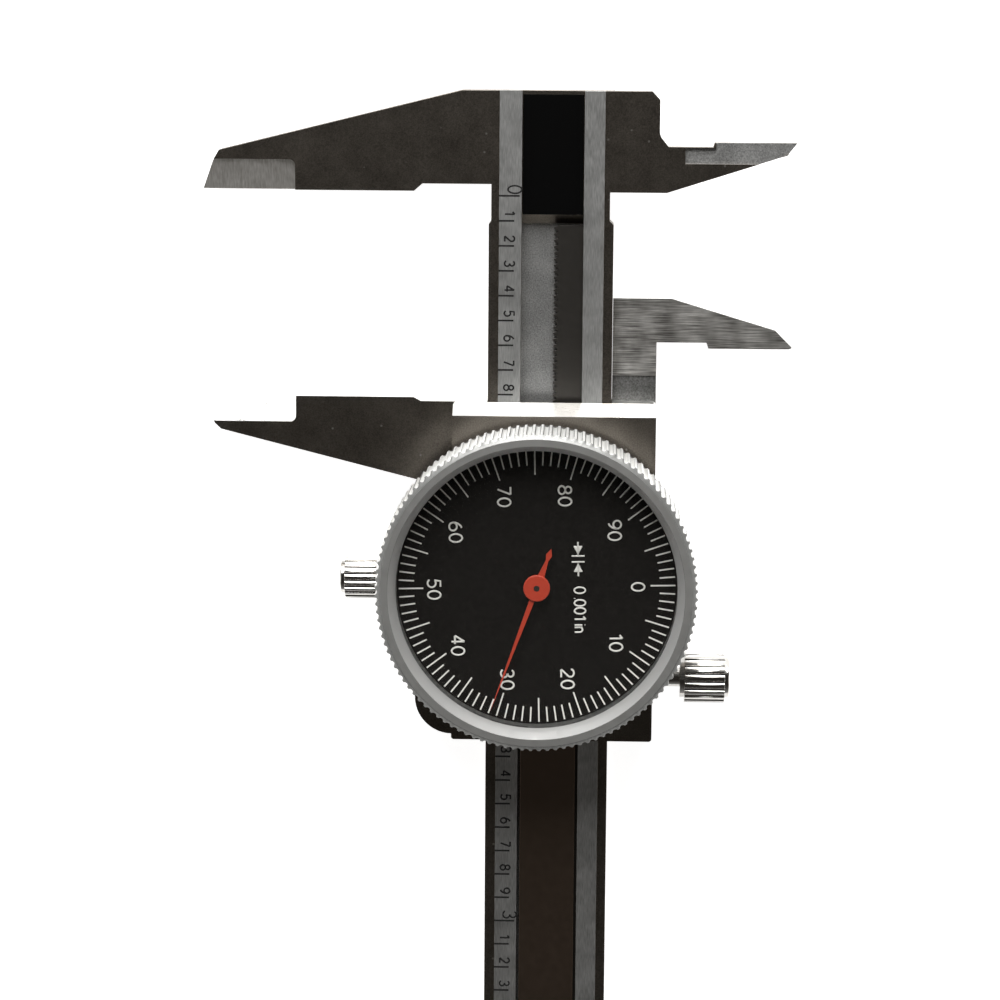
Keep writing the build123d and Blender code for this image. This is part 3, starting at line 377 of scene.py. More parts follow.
@dataclass(frozen=True)
class Coating:
    """Enamel, lacquer or print: a coloured film with a faint orange-peel bump."""

    name: str
    colour: str
    roughness: float
    gloss: float = 0.5
    peel_mm: float = 0.4
    peel_strength: float = 0.08
    peel_depth: float = 0.01 * MM
    refraction: float = 1.5

    def material(self) -> bpy.types.Material:
        """Build the coating."""
        material, tree, shader = new_material(self.name)
        place = add_node(tree, "ShaderNodeTexCoord")
        peel = add_node(
            tree,
            "ShaderNodeTexNoise",
            inputs={"Vector": place.outputs["Object"], "Scale": 1 / (self.peel_mm * MM)},
        )
        bump = add_node(
            tree,
            "ShaderNodeBump",
            inputs={
                "Height": peel.outputs["Fac"],
                "Strength": self.peel_strength,
                "Distance": self.peel_depth,
            },
        )
        shader.inputs["Base Color"].default_value = hex_to_linear(self.colour)
        shader.inputs["Roughness"].default_value = self.roughness
        shader.inputs["IOR"].default_value = self.refraction
        shader.inputs["Specular IOR Level"].default_value = self.gloss
        tree.links.new(bump.outputs["Normal"], shader.inputs["Normal"])
        return material


@dataclass(frozen=True)
class AcrylicCrystal:
    """Polished clear acrylic: seen only by its gloss and a faint film of dust."""

    name: str = "clear_acrylic"
    dust_colour: str = "#b8b4ac"
    veil: float = 0.012
    veil_spread: float = 0.5
    dust_mm: float = 0.3
    dust_low: float = 0.4
    dust_high: float = 0.8
    roughness: float = 0.03
    refraction: float = 1.49

    def material(self) -> bpy.types.Material:
        """Build the crystal as a thin clear film."""
        material, tree, shader = new_material(self.name)
        place = add_node(tree, "ShaderNodeTexCoord")
        dust = add_node(
            tree,
            "ShaderNodeTexNoise",
            inputs={
                "Vector": place.outputs["Object"],
                "Scale": 1 / (self.dust_mm * MM),
                "Detail": 5.0,
            },
        )
        veil = add_node(
            tree,
            "ShaderNodeMapRange",
            inputs={
                "Value": dust.outputs["Fac"],
                "From Min": self.dust_low,
                "From Max": self.dust_high,
                "To Min": self.veil * (1 - self.veil_spread),
                "To Max": self.veil * (1 + self.veil_spread),
            },
        )
        shader.inputs["Base Color"].default_value = hex_to_linear(self.dust_colour)
        shader.inputs["Roughness"].default_value = self.roughness
        shader.inputs["IOR"].default_value = self.refraction
        tree.links.new(veil.outputs["Result"], shader.inputs["Alpha"])
        return material


# ---------------------------------------------------------------- numerals


class Stroke(Enum):
    """The two kinds of pen stroke that a numeral is drawn with."""

    LINE = "line"
    ARC = "arc"


# Each numeral stands in a cell 1 high and CELL wide. A line lists its corners. An arc gives
# its centre, its two radii and its first and last angle in degrees.
CELL = 0.6
NUMERALS: dict[str, list[tuple[Stroke, tuple[float, ...]]]] = {
    "0": [(Stroke.ARC, (0.30, 0.50, 0.28, 0.50, 0, 360))],
    "i": [(Stroke.LINE, (0.30, 0.0, 0.30, 0.68)), (Stroke.LINE, (0.30, 0.90, 0.30, 0.94))],
    "n": [
        (Stroke.LINE, (0.08, 0.0, 0.08, 0.70)),
        (Stroke.ARC, (0.30, 0.44, 0.22, 0.26, 170, 0)),
        (Stroke.LINE, (0.52, 0.44, 0.52, 0.0)),
    ],
    "1": [(Stroke.LINE, (0.10, 0.78, 0.34, 1.0)), (Stroke.LINE, (0.34, 1.0, 0.34, 0.0))],
    "2": [
        (Stroke.ARC, (0.29, 0.72, 0.27, 0.28, 170, -35)),
        (Stroke.LINE, (0.51, 0.56, 0.03, 0.0)),
        (Stroke.LINE, (0.03, 0.0, 0.58, 0.0)),
    ],
    "3": [
        (Stroke.ARC, (0.27, 0.76, 0.24, 0.24, 155, -90)),
        (Stroke.ARC, (0.27, 0.26, 0.28, 0.26, 90, -155)),
    ],
    "4": [
        (Stroke.LINE, (0.44, 0.0, 0.44, 1.0)),
        (Stroke.LINE, (0.44, 1.0, 0.02, 0.27)),
        (Stroke.LINE, (0.02, 0.27, 0.60, 0.27)),
    ],
    "5": [
        (Stroke.LINE, (0.52, 1.0, 0.13, 1.0, 0.08, 0.53)),
        (Stroke.ARC, (0.28, 0.32, 0.28, 0.32, 135, -150)),
    ],
    "6": [
        (Stroke.ARC, (0.30, 0.30, 0.28, 0.30, 0, 360)),
        (Stroke.ARC, (0.52, 0.32, 0.50, 0.68, 180, 105)),
    ],
    "7": [(Stroke.LINE, (0.04, 1.0, 0.56, 1.0)), (Stroke.LINE, (0.56, 1.0, 0.20, 0.0))],
    "8": [
        (Stroke.ARC, (0.30, 0.76, 0.23, 0.24, 0, 360)),
        (Stroke.ARC, (0.30, 0.26, 0.28, 0.26, 0, 360)),
    ],
    "9": [
        (Stroke.ARC, (0.30, 0.70, 0.28, 0.30, 0, 360)),
        (Stroke.ARC, (0.08, 0.68, 0.50, 0.68, 0, -75)),
    ],
    ".": [(Stroke.LINE, (0.27, 0.03, 0.33, 0.03))],
}

# Share of the usual advance that a narrow figure takes.
NARROW: dict[str, float] = {".": 0.6, "i": 0.6, "1": 0.8}


@dataclass
class Pen:
    """Draws numerals and symbols as shallow rounded strokes on a level face."""

    width: float
    rise: float
    arc_step: float = 15.0
    spread: float = 1.0
    closing: float = 0.01

    def points(self, kind: Stroke, numbers: tuple[float, ...]) -> list[tuple[float, float]]:
        """Turn one stroke of the table into points.

        Args:
            kind: Line or arc.
            numbers: The stroke's numbers, as the table above has them.

        Returns:
            The points in order, in cell units.
        """
        if kind is Stroke.LINE:
            return list(zip(numbers[0::2], numbers[1::2]))
        cx, cy, rx, ry, first, last = numbers
        steps = max(2, round(abs(last - first) / self.arc_step))
        angles = [math.radians(first + (last - first) * n / steps) for n in range(steps + 1)]
        return [(cx + rx * math.cos(a), cy + ry * math.sin(a)) for a in angles]

    def stroke(self, points: list[tuple[float, float]], z: float) -> bpy.types.Object:
        """Lay one stroke on a level face.

        Args:
            points: The stroke's middle line, in metres.
            z: Height of the face.

        Returns:
            A mesh object with its place in its mesh.
        """
        line = bpy.data.curves.new("stroke", "CURVE")
        line.dimensions = "3D"
        line.bevel_depth = self.width / 2
        line.bevel_resolution = 1
        line.use_fill_caps = True
        closed = len(points) > 2 and math.dist(points[0], points[-1]) < self.width * self.closing
        kept = points[:-1] if closed else points
        spline = line.splines.new("POLY")
        spline.points.add(len(kept) - 1)
        for point, (x, y) in zip(spline.points, kept):
            point.co = (x, y, 0.0, 1.0)
        spline.use_cyclic_u = closed
        piece = bpy.data.objects.new("stroke", line)
        bpy.context.scene.collection.objects.link(piece)
        select_only(piece)
        bpy.ops.object.convert(target="MESH")
        piece = bpy.context.view_layer.objects.active
        piece.data.transform(Matrix.Diagonal((1, 1, self.rise * 2 / self.width, 1)))
        piece.data.transform(Matrix.Translation((0, 0, z)))
        return piece

    def write(
        self, text: str, corner: tuple[float, float], height: float, z: float, advance: float
    ) -> list[bpy.types.Object]:
        """Write figures in a row along +X, with their tops towards +Y.

        Args:
            text: Figures and points of the table above.
            corner: Lower left corner of the first figure.
            height: Height of a figure.
            z: Height of the face.
            advance: Distance from one figure to the next, as a share of the height.

        Returns:
            One mesh object for each stroke.
        """
        strokes = []
        left = corner[0]
        for figure in text:
            for kind, numbers in NUMERALS[figure]:
                cell = self.points(kind, numbers)
                strokes.append(
                    self.stroke(
                        [
                            (left + x * height * self.spread, corner[1] + y * height)
                            for x, y in cell
                        ],
                        z,
                    )
                )
            left += height * advance * NARROW.get(figure, 1.0)
        return strokes


def flat_bar(
    centre: tuple[float, float], length: float, width: float, turn: float, z: float, rise: float
) -> bpy.types.Object:
    """Add one straight mark that lies on a level face.

    Args:
        centre: The mark's middle.
        length: Its size along its own first axis.
        width: Its size across.
        turn: Angle of the first axis from +X, in radians.
        z: Height of the face.
        rise: How far the mark stands above the face and reaches below it.

    Returns:
        A mesh object with its place in its mesh.
    """
    bpy.ops.object.select_all(action="DESELECT")
    bpy.ops.mesh.primitive_cube_add(size=1)
    bar = bpy.context.view_layer.objects.active
    bar.data.transform(Matrix.Diagonal((length, width, rise * 2, 1)))
    bar.data.transform(Matrix.Rotation(turn, 4, "Z"))
    bar.data.transform(Matrix.Translation((centre[0], centre[1], z)))
    return bar


# ---------------------------------------------------------------- sub-assemblies


@dataclass(frozen=True)
class Zone:
    """A part of a piece that was worked differently, or that gets a painted highlight: a box, and
    the way its faces look.
    """

    finish: str
    low: tuple[float, float, float]
    high: tuple[float, float, float]
    facing: tuple[float, float, float] = (0.0, 0.0, 1.0)
    least: float = 0.9
    reach: tuple[float, float] = (0.0, 500.0)

    def holds(self, centre: Vector, normal: Vector) -> bool:
        """Tell whether a face is in the zone.

        Args:
            centre: The face's middle, in metres.
            normal: Its outward direction.

        Returns:
            True where the middle is in the box, at the zone's reach from the dial's axis,
            and the face looks the zone's way.
        """
        inside = all(a * MM <= c <= b * MM for a, c, b in zip(self.low, centre, self.high))
        reach = math.hypot(centre.x - DIAL_AXIS.x, centre.y - DIAL_AXIS.y)
        near = self.reach[0] * MM <= reach <= self.reach[1] * MM
        return inside and near and normal.dot(Vector(self.facing)) >= self.least


@dataclass
class EasedPiece:
    """A machined piece with its sharp edges eased, as a deburred edge catches the light."""

    node: str
    body: str
    ease: float
    zones: tuple[Zone, ...] = ()

    def build(self, finishes: dict[str, bpy.types.Material]) -> bpy.types.Object:
        """Copy the frame's node, merge it, ease its edges and let the copy stand for it.

        Args:
            finishes: Finish name to material, for the zones.

        Returns:
            The eased piece.
        """
        piece = copied(self.node, f"{self.node}_eased")
        ease_edges(piece, self.ease)
        for number, zone in enumerate(self.zones, start=1):
            piece.data.materials.append(finishes[zone.finish])
            for face in piece.data.polygons:
                if zone.holds(face.center, face.normal):
                    face.material_index = number
        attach(piece, self.body)
        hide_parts(self.node)
        return piece


@dataclass
class SlimPointer:
    """The pointer with its blades drawn in: a stamped hand is slimmer than its blank."""

    hub: float = 1.40 * MM
    slimming: float = 0.62
    ease: float = 0.03 * MM

    def build(self, lacquer: bpy.types.Material) -> bpy.types.Object:
        """Copy the pointer, draw its blades in, ease its edges and let the copy stand for it.

        Args:
            lacquer: The pointer's finish.

        Returns:
            The slim pointer.
        """
        piece = copied("pointer", "pointer_slim")
        axis = Vector((DIAL_AXIS.x, DIAL_AXIS.y, 0))
        flat = [Vector((v.co.x, v.co.y, 0)) - axis for v in piece.data.vertices]
        along = max(flat, key=lambda spot: spot.length).normalized()
        across = Vector((-along.y, along.x, 0))
        for vertex, spot in zip(piece.data.vertices, flat):
            if spot.length > self.hub:
                vertex.co -= across * spot.dot(across) * (1 - self.slimming)
        ease_edges(piece, self.ease)
        dress(piece, lacquer)
        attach(piece, "pointer_arbor")
        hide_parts("pointer")
        return piece


@dataclass
class BeamScale:
    """The inch scale on the beam's left rail: engraved divisions and figures, filled black."""

    zero_x: float = 0.4 * MM
    edge_y: float = -5.3 * MM
    short_mark: float = 1.55 * MM
    inch_mark: float = 2.1 * MM
    mark_width: float = 0.18 * MM
    rise: float = 0.008 * MM
    pen: Pen = field(default_factory=lambda: Pen(width=0.18 * MM, rise=0.008 * MM, arc_step=20.0))
    inches: int = 4
    inch_figure: float = 1.4 * MM
    inch_lead: float = 0.22 * MM
    inch_foot: float = 0.9 * MM
    tenth_figure: float = 1.0 * MM
    tenth_lead: float = 0.42 * MM
    tenth_foot: float = 0.6 * MM
    advance: float = 0.7

    def build(self, material: bpy.types.Material) -> None:
        """Engrave the divisions and figures and fill them.

        Args:
            material: The black filling.
        """
        rail_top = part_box("beam")[1].z
        marks = []
        figures = []
        for division in range(self.inches * 10 + 1):
            x = self.zero_x + division * INCH / 10
            whole = division % 10 == 0
            length = self.inch_mark if whole else self.short_mark
            centre = (x, self.edge_y + length / 2)
            marks.append(flat_bar(centre, self.mark_width, length, 0.0, rail_top, self.rise))
            if whole:
                text, height = str(division // 10), self.inch_figure
                lead, foot = self.inch_lead, self.inch_foot
            else:
                text, height = str(division % 10), self.tenth_figure
                lead, foot = self.tenth_lead, self.tenth_foot
            corner = (x - lead - height * CELL, self.edge_y + foot)
            figures += self.pen.write(text, corner, height, rail_top, self.advance)
        for name, pieces in (("beam_divisions", marks), ("beam_figures", figures)):
            piece = joined(name, pieces)
            dress(piece, material)
            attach(piece, "beam_body")
            log.info("%s: %d faces", name, len(piece.data.polygons))


@dataclass
class DialPrint:
    """What is printed on the dial: a hundred divisions, ten numbers and the division's value."""

    outer: float = 14.0 * MM
    long_inner: float = 11.5 * MM
    short_inner: float = 12.45 * MM
    mark_width: float = 0.15 * MM
    mark_count: int = 100
    number_count: int = 10
    number_reach: float = 9.92 * MM
    level_reach: float = 10.33 * MM
    number_height: float = 1.30 * MM
    number_shift: tuple[float, float] = (0.12 * MM, -0.08 * MM)
    number_advance: float = 0.91
    value_height: float = 1.13 * MM
    value_advance: float = 0.72
    value_place: tuple[float, float] = (0.06 * MM, 3.78 * MM)
    arrows_place: tuple[float, float] = (-2.83 * MM, 4.22 * MM)
    rise: float = 0.01 * MM
    turn: float = math.radians(1.4)
    pen: Pen = field(default_factory=lambda: Pen(width=0.19 * MM, rise=0.01 * MM, spread=1.14))
    fine_pen: Pen = field(default_factory=lambda: Pen(width=0.17 * MM, rise=0.01 * MM))

    def build(self, material: bpy.types.Material) -> None:
        """Print the dial.

        Args:
            material: The white print.
        """
        low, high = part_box("dial_face")
        centre = (low + high) / 2
        z = high.z
        parts = {
            "dial_divisions": self.divisions(centre, z),
            "dial_numbers": self.numbers(centre, z),
            "dial_value": self.fine_pen.write(
                "0.001in",
                (centre.x + self.value_place[0], centre.y + self.value_place[1]),
                self.value_height,
                z,
                self.value_advance,
            )
            + self.gap_symbol(
                (centre.x + self.arrows_place[0], centre.y + self.arrows_place[1]), z
            ),
        }
        middle = Vector((centre.x, centre.y, 0))
        turned = (
            Matrix.Translation(middle)
            @ Matrix.Rotation(self.turn, 4, "Z")
            @ Matrix.Translation(-middle)
        )
        for name, pieces in parts.items():
            piece = joined(name, pieces)
            piece.data.transform(turned)
            dress(piece, material)
            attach(piece, "bezel")
            log.info("%s: %d faces", name, len(piece.data.polygons))

    def divisions(self, centre: Vector, z: float) -> list[bpy.types.Object]:
        """Draw the hundred divisions, every fifth one longer.

        Args:
            centre: The dial's middle.
            z: Height of the dial's face.

        Returns:
            One mesh object for each division.
        """
        marks = []
        step = 360 / self.mark_count
        for division in range(self.mark_count):
            angle = math.radians(90 - division * step)
            inner = self.long_inner if division % 5 == 0 else self.short_inner
            middle = (inner + self.outer) / 2
            spot = (centre.x + middle * math.cos(angle), centre.y + middle * math.sin(angle))
            marks.append(flat_bar(spot, self.outer - inner, self.mark_width, angle, z, self.rise))
        return marks

    def numbers(self, centre: Vector, z: float) -> list[bpy.types.Object]:
        """Draw the ten numbers, all upright, each beside its division.

        Args:
            centre: The dial's middle.
            z: Height of the dial's face.

        Returns:
            One mesh object for each stroke.
        """
        strokes = []
        advance = self.number_advance
        step = 360 / self.number_count
        for ten in range(self.number_count):
            text = str(ten * self.mark_count // self.number_count)
            angle = math.radians(90 - ten * step)
            reach = self.level_reach if ten % 5 == 0 else self.number_reach
            width = self.number_height * (advance * (len(text) - 1) + CELL * self.pen.spread)
            corner = (
                centre.x + self.number_shift[0] + reach * math.cos(angle) - width / 2,
                centre.y + self.number_shift[1] + reach * math.sin(angle) - self.number_height / 2,
            )
            strokes += self.pen.write(text, corner, self.number_height, z, advance)
        return strokes

    def gap_symbol(self, centre: tuple[float, float], z: float) -> list[bpy.types.Object]:
        """Draw two arrows that point at a pair of lines: the value of one division.

        Args:
            centre: The symbol's middle.
            z: Height of the dial's face.

        Returns:
            One mesh object for each stroke.
        """
        x, y = centre
        half_gap = 0.30 * MM
        half_line = 0.65 * MM
        tip_gap = 0.16 * MM
        head = 0.80 * MM
        half_head = 0.42 * MM
        tail = 0.50 * MM
        rows = 6
        strokes = []
        for side in (-1, 1):
            line_x = x + side * half_gap
            line = [(line_x, y - half_line), (line_x, y + half_line)]
            strokes.append(self.fine_pen.stroke(line, z))
            tip = line_x + side * tip_gap
            base = tip + side * head
            strokes.append(self.fine_pen.stroke([(tip, y), (base + side * tail, y)], z))
            for row in range(1, rows + 1):
                share = row / rows
                rung = tip + side * head * share
                half = half_head * share
                strokes.append(self.fine_pen.stroke([(rung, y - half), (rung, y + half)], z))
        return strokes


@dataclass
class Finishes:
    """All the finishes of the caliper, each made once."""

    # Satin: shot with fine glass after grinding, so it is even, dark overhead, dusty in places.
    satin: WorkedSteel = WorkedSteel(
        "satin_hardened_steel", "#6b655d", "#8a837a", 0.35, relief=0.08, specks="#c8c4bd"
    )
    # Scale rails: ground along the beam after the satin, so paler and finely lined.
    rail: WorkedSteel = WorkedSteel(
        "ground_rail_steel", "#9f9f9d", "#c6c6c4", 0.50, (0.9, 0.10, 0.10), 0.10, 2.0, 0.3
    )
    # Bottom of the groove and the fixed inside jaw's relief: coarse grinding, pale with dark
    # clouds of dried oil.
    groove: WorkedSteel = WorkedSteel(
        "milled_groove_steel", "#8b8b8a", "#cdcdcb", 0.50, (0.14, 0.14, 0.14), 0.20, 2.4, 0.25
    )
    # Painted highlight: faces turned towards the head light, and the flat relief on the slider's
    # outside jaw, get a near-white steel that stands in for their reflection of that light.
    bright: WorkedSteel = WorkedSteel(
        "painted_highlight_steel", "#dcdbd8", "#f4f3f0", 0.30, (0.12, 1.2, 0.12), 0.05
    )
    # Relief on the fixed outside jaw's tip: ground to silver, with faint lines.
    lined: WorkedSteel = WorkedSteel(
        "relief_ground_steel", "#d4d1ca", "#faf8f4", 0.52, (2.2, 0.16, 0.3), 0.35, 1.6, 0.35
    )
    # Inside jaw of the slider: brushed across the beam, with broken bright streaks.
    brushed: WorkedSteel = WorkedSteel(
        "brushed_jaw_steel", "#6b6863", "#f4f2ed", 0.45, (0.08, 3.2, 0.3), 0.45, 2.2, 0.30
    )
    # Step beside the slider's inside jaw: blasted only, so it is grey and grainy.
    blasted: WorkedSteel = WorkedSteel(
        "blasted_step_steel", "#6a6a68", "#9b9b99", 0.46, (0.16, 0.16, 0.16), 0.25
    )

    def make(self) -> dict[str, bpy.types.Material]:
        """Build every finish.

        Returns:
            Finish name to material.
        """
        metals = [
            # Hardened rack: ground and left dark, with hardly any shine.
            PlainMetal("dark_rack_steel", "#5f5c58", 0.42),
            # Depth bar: rolled steel with its brown skin, a soft sheen along it.
            PlainMetal("dark_bar_steel", "#7a6a5d", 0.40),
            # Satin chrome plate over the knurl: grey, with a wide soft highlight.
            PlainMetal("satin_chrome", "#8b8b89", 0.50),
            # Knurl faces turned towards the head light: a painted highlight, a near-white metal on
            # the lit side only.
            PlainMetal("knurl_painted_highlight", "#f0f0ee", 0.55),
            # Faced ring on top of the bezel: fine turning, an even light grey.
            PlainMetal("satin_face_ring", "#cfcfcc", 0.50),
            # Turned slope down to the crystal: rough enough to glow on its lit side.
            PlainMetal("turned_inner_wall", "#dededc", 0.66),
            # Bright chrome of the knobs: near mirror, black and white stripes on the flutes.
            PlainMetal("bright_chrome", "#c6c4c0", 0.14, 0.03),
            # Turned aluminium alloy of the dial's drum: dull grey.
            PlainMetal("turned_alloy", "#7c7b79", 0.45),
            # Clock brass of the movement: warm yellow, lightly polished.
            PlainMetal("clock_brass", "#c9a35a", 0.28),
            # Drawn tool steel of arbors and pins: clean silver grey.
            PlainMetal("tool_steel", "#9d9a95", 0.30),
            # Oil-blackened screws: nearly black with a grey sheen.
            PlainMetal("blackened_steel", "#4d4a46", 0.42),
        ]
        films = [
            # Baked enamel on the nameplate: deep black.
            Coating("black_enamel", "#030303", 0.45, 0.10),
            # Matt dial paint: black with a trace of brown, almost no highlight.
            Coating("matt_black_dial", "#0a0807", 0.60, 0.10),
            # Lacquer on the pointer: orange red with a soft highlight.
            Coating("red_lacquer", "#b43c27", 0.45),
            # Pad-printed ink: slightly warm white, matt.
            Coating("white_print", "#e4e3dc", 0.60),
            # Wax paint rubbed into the engraving: black and matt.
            Coating("black_filling", "#080706", 0.75),
        ]
        steels = [self.satin, self.rail, self.groove, self.bright, self.lined]
        steels += [self.brushed, self.blasted]
        made = {finish.name: finish.material() for finish in metals + films + steels}
        made["crystal"] = AcrylicCrystal().material()
        return made


# Which finish each node of the frame wears.
WEARS: dict[str, str] = {
    "beam": "satin_hardened_steel",
    "slider_frame": "satin_hardened_steel",
    "slider_front_plate": "satin_hardened_steel",
    "beam_end_stop": "satin_hardened_steel",
    "rack": "dark_rack_steel",
    "depth_bar": "dark_bar_steel",
    "nameplate_label": "black_enamel",
    "dial_face": "matt_black_dial",
    "pointer": "red_lacquer",
    "crystal": "crystal",
    "bezel_ring": "satin_chrome",
    "bezel_retaining_ring": "satin_chrome",
    "lock_screw": "bright_chrome",
    "bezel_clamp_screw": "bright_chrome",
    "dial_housing": "turned_alloy",
    "movement_bridge": "clock_brass",
    "bridge_pillars": "clock_brass",
    "main_gear": "clock_brass",
    "take_up_gear": "clock_brass",
    "arbor_bushes": "clock_brass",
    "gib": "clock_brass",
    "lock_screw_pad": "clock_brass",
    "bezel_clamp_shoe": "clock_brass",
    "rack_arbor": "tool_steel",
    "centre_arbor": "tool_steel",
    "take_up_spring": "tool_steel",
    "bezel_snap_ring": "tool_steel",
    "rack_pins": "tool_steel",
    "end_stop_screws": "blackened_steel",
    "plate_screws": "blackened_steel",
    "gib_set_screws": "blackened_steel",
    "depth_bar_screws": "blackened_steel",
    "housing_screws": "blackened_steel",
    "bridge_screws": "blackened_steel",
}

# Zones that were worked differently from the rest of their piece, and zones of painted highlight
# on faces turned to the head light, in millimetres.
# Faces that look this way face the head light.
HEADWARD = (-1.0, 0.0, 0.0)
ALL_LOW = (-20.0, -40.0, -5.0)
ALL_HIGH = (200.0, 40.0, 20.0)

BEAM_ZONES = (
    Zone("ground_rail_steel", (-20.0, -6.0, 3.37), (200.0, 6.0, 3.43)),
    Zone("milled_groove_steel", (3.2, -3.1, 1.35), (200.0, 3.4, 1.45)),
    Zone("relief_ground_steel", (-3.3, -36.0, 1.5), (0.1, -26.0, 3.0), least=0.8),
    Zone("milled_groove_steel", (-5.2, 13.4, 2.8), (-2.9, 25.0, 2.9)),
)
SLIDER_ZONES = (
    # Painted highlight: slider faces turned to the head light get near-white steel.
    Zone("painted_highlight_steel", ALL_LOW, ALL_HIGH, HEADWARD, 0.5),
    # Painted reflection: the flat relief on the slider's outside jaw gets near-white steel.
    Zone("painted_highlight_steel", (21.0, -36.0, 1.5), (24.0, -26.0, 3.0), least=0.8),
    Zone("brushed_jaw_steel", (10.8, 6.3, 1.4), (18.9, 25.0, 1.6)),
    Zone("blasted_step_steel", (18.8, 6.3, 1.3), (21.6, 11.0, 1.45)),
)
BEZEL_ZONES = (
    # Painted highlight: knurl faces turned to the head light get near-white metal.
    Zone("knurl_painted_highlight", ALL_LOW, ALL_HIGH, HEADWARD, 0.70, (15.7, 17.0)),
    Zone("turned_inner_wall", ALL_LOW, (200.0, 40.0, 14.3), least=0.05, reach=(13.9, 14.91)),
    Zone("satin_face_ring", (-20.0, -40.0, 14.1), ALL_HIGH, least=0.95),
)
# Painted highlight: plate faces turned to the head light get near-white steel.
PLATE_ZONES = (Zone("painted_highlight_steel", ALL_LOW, ALL_HIGH, HEADWARD, 0.4),)

EASED: tuple[EasedPiece, ...] = (
    EasedPiece("beam", "beam_body", 0.08 * MM, BEAM_ZONES),
    EasedPiece("slider_frame", "slider", 0.08 * MM, SLIDER_ZONES),
    EasedPiece("slider_front_plate", "slider", 0.08 * MM, PLATE_ZONES),
    EasedPiece("depth_bar", "slider", 0.05 * MM),
    EasedPiece("rack", "beam_body", 0.03 * MM),
    EasedPiece("bezel_ring", "bezel", 0.05 * MM, BEZEL_ZONES),
    EasedPiece("lock_screw", "lock_knob", 0.04 * MM),
    EasedPiece("bezel_clamp_screw", "clamp_knob", 0.04 * MM),
)


@dataclass(frozen=True)
class SoftLight:
    """A round soft light: its name, place, width and power."""

    name: str
    spot: tuple[float, float, float]
    size: float
    power: float

    def hang(self, target: Vector) -> None:
        """Hang the light and aim it.

        Args:
            target: Where it shines.
        """
        lamp = bpy.data.lights.new(self.name, "AREA")
        lamp.shape = "DISK"
        lamp.size = self.size
        lamp.energy = self.power
        holder = bpy.data.objects.new(self.name, lamp)
        bpy.context.scene.collection.objects.link(holder)
        holder.location = self.spot
        aim = target - Vector(self.spot)
        holder.rotation_euler = aim.to_track_quat("-Z", "Y").to_euler()


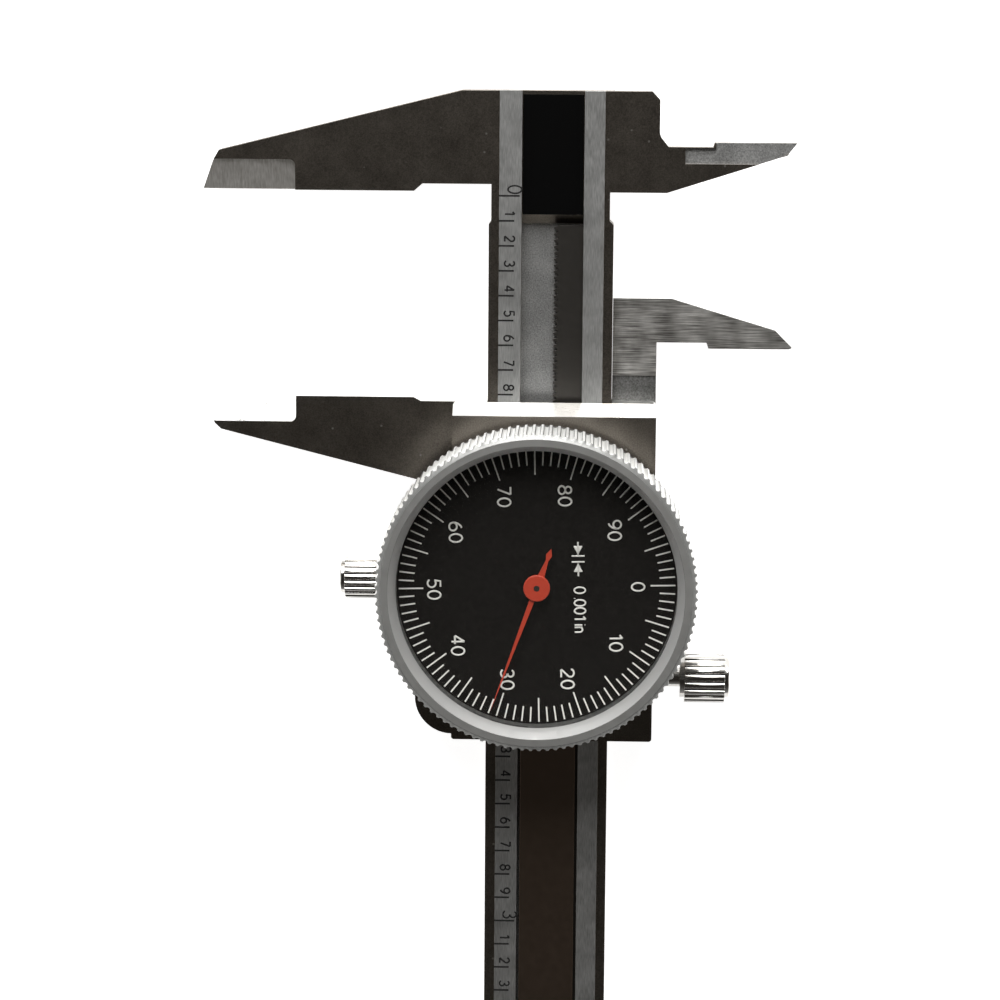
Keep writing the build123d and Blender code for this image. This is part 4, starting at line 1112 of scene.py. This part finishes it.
@dataclass
class Studio:
    """White table, dark space overhead, a strong soft light past the head, weak ones beside."""

    camera_height: float = 0.320
    camera_x: float = -0.02147
    camera_y: float = 0.00489
    tilt: float = 0.1663
    lean: float = 0.0308
    roll: float = 0.0120
    focal_share: float = 3.118
    sensor: float = 36.0
    table_size: float = 3.0
    table_middle: float = 0.06
    table_gap: float = 0.05 * MM
    table_colour: str = "#f4f4f2"
    table_glow: float = 0.88
    table_roughness: float = 0.8
    target: tuple[float, float, float] = (0.04, 0.0, 0.0)
    soft_lights: tuple[SoftLight, ...] = (
        SoftLight("head_light", (-0.62, -0.05, 0.42), 0.6, 8.0),
        SoftLight("left_light", (0.10, -0.70, 0.35), 0.5, 0.6),
        SoftLight("right_light", (0.10, 0.70, 0.35), 0.5, 0.6),
    )
    # Height in the sky, from 0 at the horizon to 1 overhead, and the brightness there.
    sky_steps: tuple[tuple[float, tuple[float, float, float]], ...] = (
        (0.05, (0.34, 0.34, 0.34)),
        (0.50, (0.11, 0.105, 0.10)),
        (0.85, (0.030, 0.027, 0.024)),
    )
    glow: float = 1.7
    glow_turn: tuple[float, float] = (-0.45, -0.92)
    glow_height: tuple[float, float] = (0.80, 0.40)

    def build(self) -> None:
        """Set up the table, the lights, the sky and the camera."""
        self.table()
        self.sky()
        for soft_light in self.soft_lights:
            soft_light.hang(Vector(self.target))
        self.camera()
        bpy.context.scene.view_settings.view_transform = "Standard"

    def table(self) -> None:
        """Lay a white table under the lowest point of the caliper."""
        bpy.ops.object.select_all(action="DESELECT")
        bpy.ops.mesh.primitive_plane_add(size=self.table_size)
        table = bpy.context.view_layer.objects.active
        table.name = "table"
        level = CAD_BOUNDS[0][2] - self.table_gap
        table.data.transform(Matrix.Translation((self.table_middle, 0, level)))
        # Laminate table top: plain white and matt.
        material, _, shader = new_material("white_table")
        shader.inputs["Base Color"].default_value = hex_to_linear(self.table_colour)
        shader.inputs["Roughness"].default_value = self.table_roughness
        shader.inputs["Emission Color"].default_value = WHITE
        shader.inputs["Emission Strength"].default_value = self.table_glow
        dress(table, material)

    def sky(self) -> None:
        """Make the surroundings dark overhead, dim at the sides and bright past the head."""
        world = bpy.data.worlds.new("studio")
        bpy.context.scene.world = world
        world.use_nodes = True
        tree = world.node_tree
        tree.nodes.clear()
        place = add_node(tree, "ShaderNodeTexCoord")
        way = add_node(tree, "ShaderNodeSeparateXYZ", inputs={0: place.outputs["Generated"]})
        ramp = add_node(tree, "ShaderNodeValToRGB", inputs={0: way.outputs["Z"]})
        stops = ramp.color_ramp.elements
        stops.new(self.sky_steps[1][0])
        for stop, (height, shade) in zip(stops, self.sky_steps):
            stop.position = height
            stop.color = (*shade, 1.0)
        headward = add_node(
            tree,
            "ShaderNodeMapRange",
            inputs={
                "Value": way.outputs["X"],
                "From Min": self.glow_turn[0],
                "From Max": self.glow_turn[1],
            },
        )
        low = add_node(
            tree,
            "ShaderNodeMapRange",
            inputs={
                "Value": way.outputs["Z"],
                "From Min": self.glow_height[0],
                "From Max": self.glow_height[1],
            },
        )
        share = add_node(
            tree,
            "ShaderNodeMath",
            {"operation": "MULTIPLY"},
            {0: headward.outputs["Result"], 1: low.outputs["Result"]},
        )
        glow = (self.glow, self.glow, self.glow, 1.0)
        shades = {0: share.outputs[0], 6: ramp.outputs["Color"], 7: glow}
        colour = add_node(tree, "ShaderNodeMix", {"data_type": "RGBA"}, shades)
        light = add_node(
            tree, "ShaderNodeBackground", inputs={"Color": colour.outputs[2], "Strength": 1.0}
        )
        add_node(tree, "ShaderNodeOutputWorld", inputs={"Surface": light.outputs["Background"]})

    def camera(self) -> None:
        """Place the camera almost straight above, leaning towards the head."""
        cos_t, sin_t = math.cos(self.tilt), math.sin(self.tilt)
        cos_l, sin_l = math.cos(self.lean), math.sin(self.lean)
        cos_r, sin_r = math.cos(self.roll), math.sin(self.roll)
        tilt = Matrix(((1, 0, 0), (0, cos_t, -sin_t), (0, sin_t, cos_t)))
        lean = Matrix(((cos_l, 0, sin_l), (0, 1, 0), (-sin_l, 0, cos_l)))
        roll = Matrix(((cos_r, -sin_r, 0), (sin_r, cos_r, 0), (0, 0, 1)))
        turned = roll @ lean @ tilt
        # Rows of turned are the picture's right, down and depth, in terms of +Y, +X and -Z.
        right, down, depth = (Vector((row[1], row[0], -row[2])) for row in turned)
        lens = bpy.data.cameras.new("camera")
        lens.sensor_width = self.sensor
        lens.lens = self.focal_share * self.sensor
        holder = bpy.data.objects.new("camera", lens)
        bpy.context.scene.collection.objects.link(holder)
        axes = Matrix((right, -down, -depth)).transposed().to_4x4()
        spot = Vector((self.camera_x, self.camera_y, self.camera_height))
        holder.matrix_world = Matrix.Translation(spot) @ axes
        bpy.context.scene.camera = holder


def main() -> None:
    """Build the caliper's looks in order and report each piece."""
    logging.basicConfig(level=logging.INFO, format="%(name)s: %(message)s")
    Studio().build()
    finishes = Finishes().make()
    for node, finish in WEARS.items():
        dress(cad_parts[node], finishes[finish])
    for eased in EASED:
        piece = eased.build(finishes)
        log.info("%s: %d faces", piece.name, len(piece.data.polygons))
    pointer = SlimPointer().build(finishes["red_lacquer"])
    log.info("%s: %d faces", pointer.name, len(pointer.data.polygons))
    BeamScale().build(finishes["black_filling"])
    DialPrint().build(finishes["white_print"])


if __name__ == "__main__":
    main()
